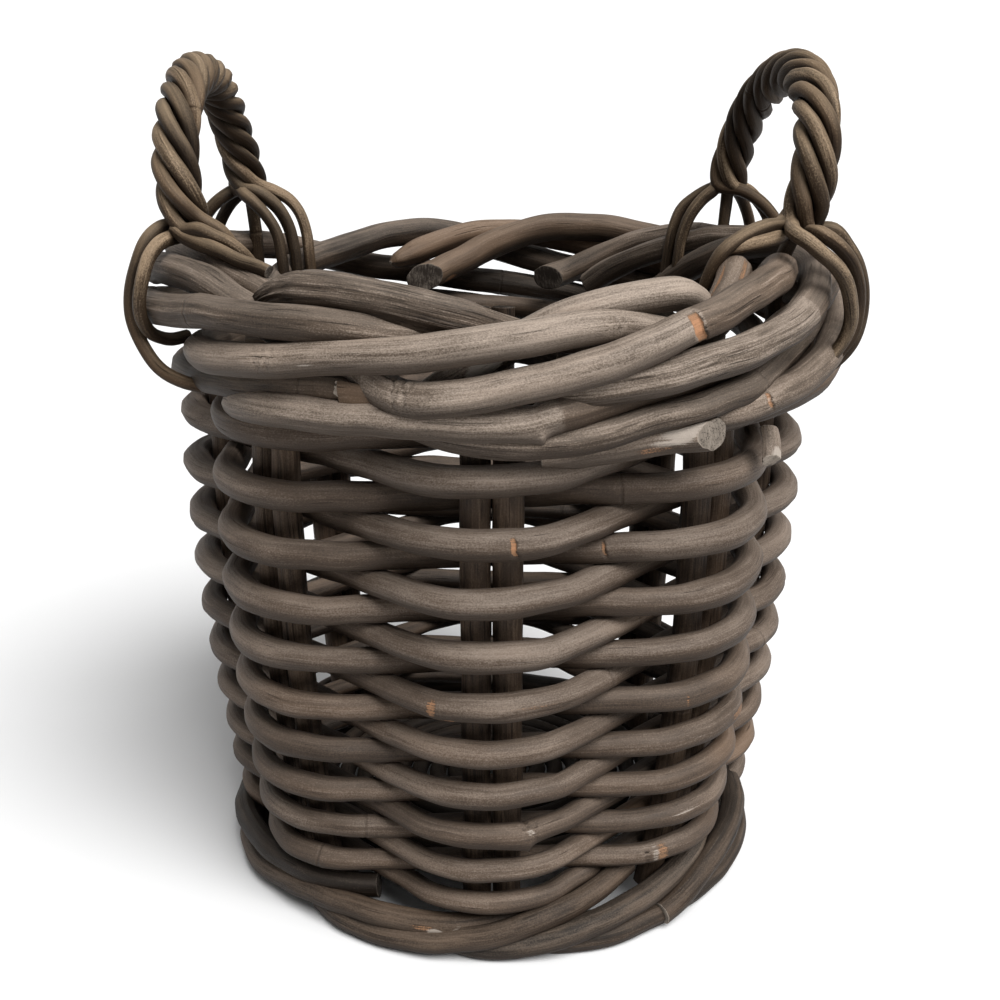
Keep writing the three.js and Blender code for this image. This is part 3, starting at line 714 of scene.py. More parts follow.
# Rings of a rod in millimetres: extra ones beside a knuckle and an end, and the steps at marks
KNUCKLE_RINGS = (-4.5, -2.6, -1.4, -0.7, -0.2, 0.3, 0.9, 1.8, 3.0, 5.0)
END_RINGS = (0.5, 1.2, 2.2)
MARK_STEP = 1.3
FINE_STEPS = {Wear.BREAK: 0.4, Wear.POINT: 0.7, Wear.KINK: 0.7}
LEAST_STEP = 0.35
LEAST_RINGS = 4

# Extra rings at a mark: how far they reach either way at least, and as a share of its length
LEAST_REACH = 6.0
REACH_SHARE = 1.4

# Ridges along a rod: number round it and height as a share of the furrow, and how both drift
RIDGES = ((2, 1.4), (3, 1.4), (5, 0.7), (7, 0.7), (9, 0.7), (11, 0.7))
RIDGE_DRIFT = Drift(0.5, 60.0)
TWIST_DRIFT = Drift(1.6, 160.0)

# Longest waves of a rod's thickness and of its two ways aside, in millimetres
SWELL_LONGEST = 130.0
WANDER_LONGEST = (95.0, 80.0)

# Knuckles: shares of the gap before the first and before each next one, and the end left without one
KNUCKLE_FIRST = (0.15, 0.9)
KNUCKLE_NEXT = (0.7, 1.25)
KNUCKLE_LEFT = 12.0

# Knuckle: place and width of its swelling, and depth and width of its seam
KNUCKLE_SWELL = (1.2, 2.6)
KNUCKLE_SEAM = (0.20, 0.5)

# Wear: channel that each mark fills by itself, and its reach in half sizes of the mark
CHANNELS = {Wear.PEEL: 0, Wear.SPLIT: 1, Wear.SCUFF: 2}
PEEL, SPLIT = CHANNELS[Wear.PEEL], CHANNELS[Wear.SPLIT]
WEAR_REACH = 1.5

# Sunk bark: channel of its wear, its depth, the wear that it starts from, and the most that counts
SUNK = ((PEEL, 0.5, 0.3), (SPLIT, 0.8, 0.4))
SUNK_MOST = 0.6

# Crushed bend: place and slope of each crease, and what a place of 1 is as a share of the mark
CREASES = ((-3.4, 0.30), (-1.0, -0.12), (1.2, 0.22), (3.6, -0.28))
CREASE_SHARE = 0.2

# Crease: size and pitch of its waves, width, depth, and how dark it is
CREASE_WAVE = (0.5, 1.1)
CREASE_WIDTH = 0.95
CREASE_DEPTH = 0.055
CREASE_DARK = 1.1

# Fold beside a crease: place, width and rise
FOLD_PLACE = 1.4
FOLD_WIDTH = 1.1
FOLD_RISE = 0.03

# Bend that stands out: reach beyond it, rise of its corner, and depth and reach of the notch
CORNER_REACH = 2.0
CORNER_RISE = 0.42
NOTCH_DEPTH = 0.16
NOTCH_REACH = 2.5

# Broken bark: height, pitch and phase of the waves of its edge, the edge's slant and width, and the lip
TEETH = ((0.55, 0.42, 1.0), (0.25, 1.05, 0.0))
EDGE_SLANT = 0.22
EDGE_WIDTH = 0.5
LIP_LENGTH = 3.5
LIP_RISE = 0.11

# Broken bark: reach aside in half widths, and the bare stretch's wear, fade and depth
BREAK_REACH = 1.6
BARE_WEAR = 1.4
BARE_FADE = 1.6
BARE_DEPTH = 0.10

# Dark line along the edge of broken bark, a crack and the painted shadow of the raised lip: darkness, width
# and place
RIM_DARK = 0.85
RIM_WIDTH = 0.9
RIM_PLACE = 0.6

# Bark: shift of the grain in metres from one rod to the next
GRAIN_SHIFT = 0.37

# Tone: its drift and that of the warmth, width of a step, and strength of bands and stains
TONE_DRIFT = Drift(0.10, 620.0)
WARMTH_DRIFT = Drift(0.12, 480.0)
STEP_WIDTH = 1.5
BAND_DARK = 0.45
STAIN_WARM = 0.8
NO_KNUCKLE = 50.0

# Painted shade on what faces into the basket: height where it starts, fade, strength, and its reach aside
INSIDE_SHADE_BELOW = 318.0
INSIDE_SHADE_FADE = 20.0
INSIDE_SHADE_DARK = 0.32
INSIDE_SHADE_ASIDE = 0.15

# Painted shade in the grooves of a rope: fade with the distance from its core, its end in fades, and their
# reach aside
GROOVE_FADE = 7.0
GROOVE_END = 2.2
GROOVE_ASIDE = 0.5
GROOVE_TURN = 0.85

# Cut faces: share of the rim and rise of each ring, rise of the middle, roughness, and fade of a tilt
CAP_RINGS = ((0.955, 0.3), (0.86, 0.42), (0.62, 0.40), (0.36, 0.42), (0.14, 0.40))
CAP_MIDDLE = 0.4
CUT_ROUGHNESS = {Cut.SAWN: 0.12, Cut.TORN: 1.5, Cut.TAPERED: 0.1, Cut.ROUNDED: 0.1}
TILT_FADE = 18.0

# Cut faces: warmth of the wood, and the angle in degrees from which an edge is drawn sharp
CUT_WARMTH = 0.2
SHARP_EDGE = 55.0

# Cut face: its middle, outward direction and kind
Face = tuple[np.ndarray, np.ndarray, End]


class Rod:
    """One rod as a mesh: rings of vertices along a centre line, closed by two cut faces."""

    def __init__(self, line: Centreline, habit: Habit, seed: int) -> None:
        """Keeps what the rod is made from.

        Args:
            line: Centre line.
            habit: How the rod differs from a plain tube.
            seed: Seed of everything random on this rod.
        """
        self.line = line
        self.habit = habit
        self.rng = np.random.default_rng(seed)
        self.offset = GRAIN_SHIFT * seed
        self.dense = lengths(line.points)
        self.length = float(self.dense[-1])
        self.knuckles = self._knuckles()
        self.along = self._stations()
        self.turns = np.arange(habit.sides) * 2 * math.pi / habit.sides

    def _knuckles(self) -> list[float]:
        """Places the knuckles.

        Returns:
            Distances along the rod of its knuckles.
        """
        gap = self.habit.knuckle_gap
        found = []
        spot = self.rng.uniform(*KNUCKLE_FIRST) * gap
        while spot < self.length - KNUCKLE_LEFT:
            found.append(spot)
            spot += gap * self.rng.uniform(*KNUCKLE_NEXT)
        return found

    def _spot(self, bearing: float) -> float:
        """Distance along the rod of a bearing."""
        return float(np.interp(bearing, self.line.bearings, self.dense))

    def _stations(self) -> np.ndarray:
        """Places the rings, closer at knuckles, marks and ends.

        Returns:
            Distances along the rod of its rings.
        """
        count = max(LEAST_RINGS, int(self.length / self.habit.step))
        spots = list(np.linspace(0, self.length, count + 1))
        for knuckle in self.knuckles:
            spots += [knuckle + shift for shift in KNUCKLE_RINGS]
        for mark in self.habit.marks:
            reach = max(LEAST_REACH, mark.length * REACH_SHARE)
            count = int(reach * 2 / FINE_STEPS.get(mark.kind, MARK_STEP))
            spots += list(self._spot(mark.bearing) + np.linspace(-reach, reach, count))
        for near in END_RINGS:
            spots += [near, self.length - near]
        kept = [0.0]
        for spot in np.unique(np.clip(spots, 0, self.length))[1:-1]:
            if spot - kept[-1] > LEAST_STEP and self.length - spot > LEAST_STEP:
                kept.append(float(spot))
        return np.array([*kept, self.length])

    def _frames(self, points: np.ndarray) -> tuple[np.ndarray, np.ndarray, np.ndarray]:
        """Directions at each ring.

        Args:
            points: Centre of each ring.

        Returns:
            Direction of travel, first side and second side at each ring.
        """
        ahead = np.gradient(points, self.along, axis=0)
        ahead /= np.linalg.norm(ahead, axis=1)[:, None]
        first = np.zeros_like(ahead)
        side = self.line.first_side
        for index, direction in enumerate(ahead):
            if self.line.side is Side.OUTWARD:
                side = points[index] * (1.0, 1.0, 0.0)
            elif self.line.side is Side.UPRIGHT:
                side = self.line.first_side
            side = side - direction * float(side @ direction)
            side = side / np.linalg.norm(side)
            first[index] = side
        return ahead, first, np.cross(ahead, first)

    def _wear(self, radii: np.ndarray) -> tuple[np.ndarray, np.ndarray]:
        """Strength of each kind of wear over the rod, and what bends and breaks do to its radius.

        Args:
            radii: Radius of each ring.

        Returns:
            Wear as an array of rings, sides and three kinds, and the change of radius as a share.
        """
        wear = np.zeros((len(self.along), self.habit.sides, 3))
        wear[:, :, SPLIT] = self.habit.grain
        squeeze = np.zeros((len(self.along), self.habit.sides))
        for mark in self.habit.marks:
            ahead = np.repeat((self.along - self._spot(mark.bearing))[:, None], self.habit.sides, axis=1)
            turn = np.angle(np.exp(1j * (self.turns - math.radians(mark.around))))
            aside = turn[None, :] * radii[:, None]
            if mark.kind is Wear.KINK:
                self._crush(mark, ahead, aside, wear, squeeze)
            elif mark.kind is Wear.POINT:
                flare = np.clip(-ahead, 0, None) / mark.length + np.clip(ahead, 0, None) / CORNER_REACH
                corner = np.exp(-flare) * bell(aside, mark.width)
                notch = np.exp(-np.abs(ahead) / NOTCH_REACH) * np.clip(-np.cos(turn), 0, 1)[None, :]
                squeeze += mark.strength * (CORNER_RISE * corner - NOTCH_DEPTH * notch)
            elif mark.kind is Wear.BREAK:
                self._break(mark, ahead, aside, wear, squeeze)
            elif mark.kind in CHANNELS:
                away = np.hypot(ahead / mark.length, aside / mark.width)
                self._deepen(wear, CHANNELS[mark.kind], np.clip(WEAR_REACH - away, 0, 1) * mark.strength)
        return wear, squeeze

    @staticmethod
    def _deepen(wear: np.ndarray, channel: int, strength: np.ndarray) -> None:
        """Raises one kind of wear to a strength wherever it is weaker."""
        wear[:, :, channel] = np.maximum(wear[:, :, channel], strength)

    def _crush(
        self, mark: Mark, ahead: np.ndarray, aside: np.ndarray, wear: np.ndarray, squeeze: np.ndarray
    ) -> None:
        """Adds the folds of crushed bark at a sharp bend.

        Args:
            mark: The worn place.
            ahead: Distance along the rod from it.
            aside: Distance round the rod from it.
            wear: Strengths of wear, added to.
            squeeze: Change of radius as a share, added to.
        """
        inside = bell(aside, mark.width) * mark.strength
        waves, pitch = CREASE_WAVE
        for offset, slope in CREASES:
            across = ahead - CREASE_SHARE * mark.length * offset - slope * aside
            across = across - waves * np.sin(aside * pitch + offset)
            crease = bell(across, CREASE_WIDTH) * inside
            squeeze -= CREASE_DEPTH * crease
            squeeze += FOLD_RISE * bell(across, FOLD_WIDTH, FOLD_PLACE) * inside
            self._deepen(wear, SPLIT, CREASE_DARK * crease)

    def _break(
        self, mark: Mark, ahead: np.ndarray, aside: np.ndarray, wear: np.ndarray, squeeze: np.ndarray
    ) -> None:
        """Adds a place where the bark is broken across, bare before the break and raised after it.

        Args:
            mark: The worn place.
            ahead: Distance along the rod from it.
            aside: Distance round the rod from it.
            wear: Strengths of wear, added to.
            squeeze: Change of radius as a share, added to.
        """
        within = np.clip(BREAK_REACH - np.abs(aside) / mark.width, 0, 1) * mark.strength
        jagged = ahead - EDGE_SLANT * aside
        for size, pitch, phase in TEETH:
            jagged = jagged + size * np.sin(aside * pitch + phase)
        edge = np.clip(jagged / EDGE_WIDTH, 0, 1)
        bare = np.clip((jagged + mark.length) / BARE_FADE, 0, 1) * (1 - edge)
        lip = np.exp(-np.clip(jagged, 0, 50) / LIP_LENGTH) * edge
        self._deepen(wear, PEEL, BARE_WEAR * bare * within)
        # Dark line along the edge: a crack and the painted shadow of the raised lip.
        self._deepen(wear, SPLIT, RIM_DARK * bell(jagged, RIM_WIDTH, RIM_PLACE) * within)
        squeeze += within * (LIP_RISE * lip - BARE_DEPTH * bare)

    def _steps(self, steps: tuple[tuple[float, float], ...]) -> np.ndarray:
        """Adds up changes that start at a bearing and stay.

        Args:
            steps: Bearing and change of each.

        Returns:
            The sum at each ring.
        """
        total = np.zeros_like(self.along)
        for bearing, change in steps:
            total += change * np.clip((self.along - self._spot(bearing)) / STEP_WIDTH, 0, 1)
        return total

    def _look(self) -> np.ndarray:
        """Works out what the bark needs at each ring.

        Returns:
            Tone, warmth and distance to the nearest knuckle in metres, ring by ring.
        """
        tone = self.habit.tone + TONE_DRIFT.over(self.along, self.rng)
        if self.line.shade is not None:
            tone = tone + np.interp(self.along, self.dense, self.line.shade)
        tone = tone + self._steps(self.habit.tone_steps)
        warmth = self.habit.warmth + WARMTH_DRIFT.over(self.along, self.rng)
        warmth = warmth + self._steps(self.habit.warmth_steps)
        for mark in self.habit.marks:
            reach = np.exp(-(((self.along - self._spot(mark.bearing)) / mark.length) ** 4)) * mark.strength
            if mark.kind is Wear.BAND:
                tone = tone - BAND_DARK * reach
            elif mark.kind is Wear.STAIN:
                warmth = warmth + STAIN_WARM * reach
        ring = np.full_like(self.along, NO_KNUCKLE)
        for knuckle in self.knuckles:
            nearer = self.along - knuckle
            ring = np.where(np.abs(nearer) < np.abs(ring), nearer, ring)
        return np.stack([tone, warmth, ring * METRES], axis=1)

    def _radii(self) -> np.ndarray:
        """Works out how thick the rod is.

        Returns:
            Radius of each ring, with its swellings, knuckles and pared ends.
        """
        swell_at, swell_width = KNUCKLE_SWELL
        seam_depth, seam_width = KNUCKLE_SEAM
        radii = np.interp(self.along, self.dense, self.line.radii)
        radii = radii * (1 + self.habit.swell * wave(self.along, self.rng, SWELL_LONGEST))
        for knuckle in self.knuckles:
            past = self.along - knuckle
            radii = radii + self.habit.knuckle_rise * bell(past, swell_width, swell_at)
            radii = radii - seam_depth * bell(past, seam_width)
        return radii * self.habit.start.girth(self.along) * self.habit.end.girth(self.length - self.along)

    def _grid(self) -> tuple[tuple[np.ndarray, ...], tuple[Face, Face]]:
        """Skin of the rod.

        Returns:
            Vertices and the three attributes, each as rings by sides by three, and the cut faces.
        """
        habit, rng, along = self.habit, self.rng, self.along
        points = between(self.line.points, self.dense, along)
        _, first, second = self._frames(points)
        for side, longest in zip((first, second), WANDER_LONGEST):
            points = points + side * (habit.wander * wave(along, rng, longest))[:, None]
        ahead, first, second = self._frames(points)
        radii = self._radii()
        flats = np.interp(along, self.dense, self.line.flats)
        wear, squeeze = self._wear(radii)
        skin = radii[:, None] * (1 + squeeze)
        for ridges, height in RIDGES:
            phase = rng.uniform(0, 2 * math.pi) + TWIST_DRIFT.over(along, rng)
            size = habit.furrow * height * (1 + RIDGE_DRIFT.over(along, rng))
            skin += size[:, None] * np.cos(ridges * self.turns[None, :] + phase[:, None])
        for channel, depth, least in SUNK:
            skin -= depth * np.clip(wear[:, :, channel] - least, 0, SUNK_MOST)
        up = skin * np.cos(self.turns)[None, :] * flats[:, None]
        aside = skin * np.sin(self.turns)[None, :]
        vertices = points[:, None, :] + first[:, None, :] * up[:, :, None]
        vertices = vertices + second[:, None, :] * aside[:, :, None]
        vertices += ahead[:, None, :] * self._slant(up, aside)[:, :, None]
        straight = np.repeat((along * METRES + self.offset)[:, None], habit.sides, axis=1)
        space = np.stack([straight, up * METRES, aside * METRES], axis=2)
        look = np.repeat(self._look()[:, None, :], habit.sides, axis=1)
        facing = vertices - points[:, None, :]
        facing /= np.linalg.norm(facing, axis=2)[:, :, None]
        # Painted shade: darker in the rope's grooves and on what faces into the basket.
        look[:, :, 0] -= self._groove_shade(points, facing) + self._inside_shade(points, facing, vertices[:, :, 2])
        faces = (points[0], -ahead[0], habit.start), (points[-1], ahead[-1], habit.end)
        return (vertices, space, look, wear), faces

    def _groove_shade(self, points: np.ndarray, facing: np.ndarray) -> np.ndarray:
        """How much darker each vertex is for facing the core of the rope: painted shade in the grooves.

        Args:
            points: Centre of each ring.
            facing: Direction of each vertex from its ring's centre.

        Returns:
            The loss of tone, as rings by sides.
        """
        if self.line.core is None:
            return np.zeros(facing.shape[:2])
        inward = between(self.line.core, self.dense, self.along) - points
        away = np.linalg.norm(inward, axis=1) + 1e-6
        near = np.clip(GROOVE_END - away / GROOVE_FADE, 0, 1)
        lean = np.einsum("ijk,ik->ij", facing, inward / away[:, None])
        return self.habit.groove_shade * near[:, None] * np.clip((lean + GROOVE_ASIDE) / GROOVE_TURN, 0, 1)

    @staticmethod
    def _inside_shade(points: np.ndarray, facing: np.ndarray, heights: np.ndarray) -> np.ndarray:
        """How much darker each vertex is for facing into the basket below its rim: painted shade of the
        inside.

        Args:
            points: Centre of each ring.
            facing: Direction of each vertex from its ring's centre.
            heights: Height of each vertex.

        Returns:
            The loss of tone, as rings by sides.
        """
        inward = -points[:, :2] / (np.linalg.norm(points[:, :2], axis=1) + 1e-6)[:, None]
        lean = np.einsum("ijk,ik->ij", facing[:, :, :2], inward)
        low = np.clip((INSIDE_SHADE_BELOW - heights) / INSIDE_SHADE_FADE, 0, 1)
        return INSIDE_SHADE_DARK * low * np.clip(lean + INSIDE_SHADE_ASIDE, 0, 1)

    def _slant(self, up: np.ndarray, aside: np.ndarray) -> np.ndarray:
        """How far each vertex is moved along the rod to tilt the cut faces.

        Args:
            up: Place of each vertex along the first side.
            aside: Place of each vertex along the second side.

        Returns:
            The shift, which fades out away from the ends.
        """
        shift = np.zeros_like(up)
        ends = ((self.habit.start, self.along, 1), (self.habit.end, self.length - self.along, -1))
        for end, gone, sign in ends:
            turn = math.radians(end.around)
            towards = up * math.cos(turn) + aside * math.sin(turn)
            fade = np.clip(1 - gone / TILT_FADE, 0, 1)[:, None]
            shift += sign * math.tan(math.radians(end.tilt)) * towards * fade
        return shift

    def _cap(self, rim: np.ndarray, face: Face, space: np.ndarray) -> tuple[np.ndarray, np.ndarray]:
        """Rings of one cut face, from its worn edge to its middle.

        Args:
            rim: Last ring of the skin.
            face: The cut face.
            space: Straightened place of the last ring.

        Returns:
            Vertices and their straightened places, ring by ring, the middle last.
        """
        middle, outward, end = face
        rings, spaces = [], []
        jag = np.repeat(self.rng.uniform(-1, 1, (len(rim) + 1) // 2), 2)[: len(rim)]
        for share, lift in CAP_RINGS:
            ragged = CUT_ROUGHNESS[end.cut] * (jag * share + 0.5 * self.rng.uniform(-1, 1, len(rim)))
            rings.append(middle + (rim - middle) * share + outward * (lift + ragged)[:, None])
            spaces.append(space * (1.0, share, share))
        rings.append((middle + outward * CAP_MIDDLE)[None, :])
        spaces.append((space.mean(axis=0) * (1.0, 0.0, 0.0))[None, :])
        return np.vstack(rings), np.vstack(spaces)

    @staticmethod
    def _cap_faces(rim: np.ndarray, base: int, order: int) -> list[list[int]]:
        """Joins the rings of one cut face.

        Args:
            rim: Vertex numbers of the skin's last ring.
            base: Number of the first vertex inside it.
            order: 1, or -1 to turn the faces over.

        Returns:
            Vertex numbers of each face.
        """
        sides = len(rim)
        rings = [rim] + [base + index * sides + np.arange(sides) for index in range(len(CAP_RINGS))]
        faces = []
        for outer, inner in zip(rings[:-1], rings[1:]):
            quads = np.stack([outer, np.roll(outer, -1), np.roll(inner, -1), inner], axis=1)
            faces += quads[:, ::order].tolist()
        tip = np.full(sides, base + len(CAP_RINGS) * sides)
        return faces + np.stack([rings[-1], np.roll(rings[-1], -1), tip], axis=1)[:, ::order].tolist()

    def build(self, name: str, bark: bpy.types.Material, grain: bpy.types.Material) -> bpy.types.Object:
        """Makes the rod's object.

        Args:
            name: Name of the object.
            bark: Material of the skin.
            grain: Material of the cut faces.

        Returns:
            The object, linked to the scene.
        """
        skin, ends = self._grid()
        rings, sides = skin[0].shape[:2]
        corner = np.arange(rings * sides).reshape(rings, sides)
        beside = np.roll(corner, -1, axis=1)
        faces = np.stack([corner[:-1], beside[:-1], beside[1:], corner[1:]], axis=2).reshape(-1, 4).tolist()
        bark_faces = len(faces)
        stacks = [[block.reshape(-1, 3)] for block in skin]
        for ring, end, order in ((0, ends[0], -1), (rings - 1, ends[1], 1)):
            cap, spaces = self._cap(skin[0][ring], end, skin[1][ring])
            faces += self._cap_faces(corner[ring], sum(len(block) for block in stacks[0]), order)
            plain = np.tile((end[2].tone, CUT_WARMTH, NO_KNUCKLE * METRES), (len(cap), 1))
            for stack, block in zip(stacks, (cap, spaces, plain, np.zeros_like(cap))):
                stack.append(block)
        points, *attributes = [np.vstack(stack) for stack in stacks]
        mesh = bpy.data.meshes.new(name)
        mesh.from_pydata((points * METRES).tolist(), [], faces)
        for key, block in zip(("rod_space", "rod_look", "rod_wear"), attributes):
            values = mesh.attributes.new(key, "FLOAT_VECTOR", "POINT").data
            values.foreach_set("vector", block.astype(np.float32).ravel())
        mesh.materials.append(bark)
        mesh.materials.append(grain)
        slots = np.zeros(len(faces), np.int32)
        slots[bark_faces:] = 1
        mesh.polygons.foreach_set("material_index", slots)
        mesh.polygons.foreach_set("use_smooth", np.ones(len(faces), bool))
        mesh.set_sharp_from_angle(angle=math.radians(SHARP_EDGE))
        mesh.validate()
        piece = bpy.data.objects.new(name, mesh)
        bpy.context.scene.collection.objects.link(piece)
        return piece


class Workbench:
    """Builds rods, dresses them and puts each in the place of its CAD node."""

    def __init__(self, finishes: Finishes) -> None:
        """Keeps the finishes and starts with no piece made."""
        self.finishes = finishes
        self.count = 0

    def lay(self, node: str, line: Centreline, habit: Habit, bark: Bark) -> bpy.types.Object:
        """Builds one rod for a CAD node.

        Args:
            node: Name of the CAD node that the rod stands for.
            line: Centre line.
            habit: How the rod differs from a plain tube.
            bark: Finish of its skin.

        Returns:
            The finished piece.
        """
        piece = self.loose(node, line, habit, bark)
        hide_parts(node)
        return piece

    def loose(self, name: str, line: Centreline, habit: Habit, bark: Bark) -> bpy.types.Object:
        """Builds one rod that has no CAD node of its own.

        Args:
            name: Name of the piece, without its ending.
            line: Centre line.
            habit: How the rod differs from a plain tube.
            bark: Finish of its skin.

        Returns:
            The finished piece.
        """
        self.count += 1
        rod = Rod(line, habit, self.count)
        piece = rod.build(f"{name}_rod", self.finishes.get(bark), self.finishes.get(self.finishes.end))
        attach(piece, "root")
        LOG.info("%s: %d faces", piece.name, len(piece.data.polygons))
        return piece


# Sub-assemblies


@dataclass(frozen=True)
class Weave:
    """Sizes that the stakes and the body share."""

    stake: float = 14.0
    floor_radius: float = 134.8
    top_radius: float = 155.8
    belly: float = 6.6
    body_height: float = 240.0
    row_floor: float = 31.3
    row_step: float = 19.8
    row_growth: float = 0.515
    weaver: float = 14.2
    excess: float = 0.9
    nip_gap: float = 0.35
    pass_gap: float = 0.35
    corner_ease: float = 0.8

    def row_height(self, turns: float) -> float:
        """Height of a strand after a number of turns."""
        return self.row_floor + self.row_step * turns + self.row_growth * turns * turns

    def row_spacing(self, height: float) -> float:
        """Distance between one strand and the other above it.

        Args:
            height: Height of the lower strand.

        Returns:
            The distance.
        """
        root = math.sqrt(self.row_step**2 + 4 * self.row_growth * max(0.0, height - self.row_floor))
        turns = (root - self.row_step) / (2 * self.row_growth)
        return self.row_height(turns + 0.5) - self.row_height(turns)

    def weaver_size(self, height: float) -> float:
        """Diameter of a weaver, a little more than the spacing low down, full size above."""
        return min(self.weaver, self.row_spacing(height) + self.excess)

    def pass_offset(self, height: float) -> float:
        """Distance from a stake's middle to the middle of a weaver that passes it."""
        return (self.weaver_size(height) + self.stake) / 2 + self.pass_gap

    def body_radius(self, height: float) -> float:
        """Radius at which a weaver passes outside a pair of stakes.

        Args:
            height: Height of the weaver.

        Returns:
            The radius.
        """
        share = min(max((height - self.row_floor + self.row_step) / self.body_height, 0.0), 1.0)
        bulge = self.belly * 4 * share * (1 - share)
        return self.floor_radius + (self.top_radius - self.floor_radius) * share + bulge

    def stake_radius(self, height: float) -> float:
        """Radius on which the stakes stand."""
        return self.body_radius(height) - self.pass_offset(height) - self.corner_ease

    def plan_radius(self, offset: float, height: float) -> float:
        """Radius of a strand in plan, a square with rounded corners.

        Args:
            offset: Degrees from the nearest corner, at most 45.
            height: Height of the strand.

        Returns:
            The radius.
        """
        pass_by, stand = self.pass_offset(height), self.stake_radius(height)
        half, reach = stand - pass_by, stand + pass_by + self.corner_ease
        corner = (math.sqrt(2) * half - reach) / (math.sqrt(2) - 1)
        turn = abs(math.radians(offset))
        if turn > math.pi / 4 - math.atan2(half - corner, half):
            return half / math.cos(math.pi / 4 - turn)
        centre = (half - corner) * math.sqrt(2)
        return centre * math.cos(turn) + math.sqrt(corner**2 - (centre * math.sin(turn)) ** 2)


@dataclass(frozen=True)
class Stakes:
    """Upright rods, two side by side in each of eight pairs, in four tones."""

    weave: Weave
    pairs: int = 8
    gap: float = 0.6
    foot: float = 13.0
    top: float = 268.0
    line_points: int = 60
    tone: float = 0.42
    tone_range: float = 0.16

    def build(self, bench: Workbench) -> None:
        """Lays all stakes.

        Args:
            bench: Where they are built.
        """
        for pair in range(self.pairs):
            bearing = pair * 360 / self.pairs
            for letter, half in (("a", -1), ("b", 1)):
                sideways = place(bearing + 90, half * (self.weave.stake + self.gap) / 2, 0)
                heights = np.linspace(self.foot, self.top, self.line_points)
                points = places([(bearing, self.weave.stake_radius(z), z) for z in heights]) + sideways
                line = Centreline.even(points, self.weave.stake, heights, Side.OUTWARD)
                tone = self.tone + self.tone_range * ((pair * 5 + (half > 0) * 3) % 4) / 4
                habit = Habit(
                    tone, warmth=0.3, wander=0.3, grain=0.6, knuckle_gap=500, step=4.0, sides=22,
                    end=End(tone=0.0),
                )
                bench.lay(f"stake_{pair + 1}{letter}", line, habit, bench.finishes.stake)


@dataclass(frozen=True)
class Strand:
    """One of the two weavers' lines that chase each other round the basket.

    Its corners are a quarter turn apart, one of them at a given bearing. Its lead in height and
    the splits where its rods meet are counted in turns.
    """

    letter: str
    corner: float
    lead: float
    splits: tuple[float, ...]
    marks: tuple[Mark, ...]


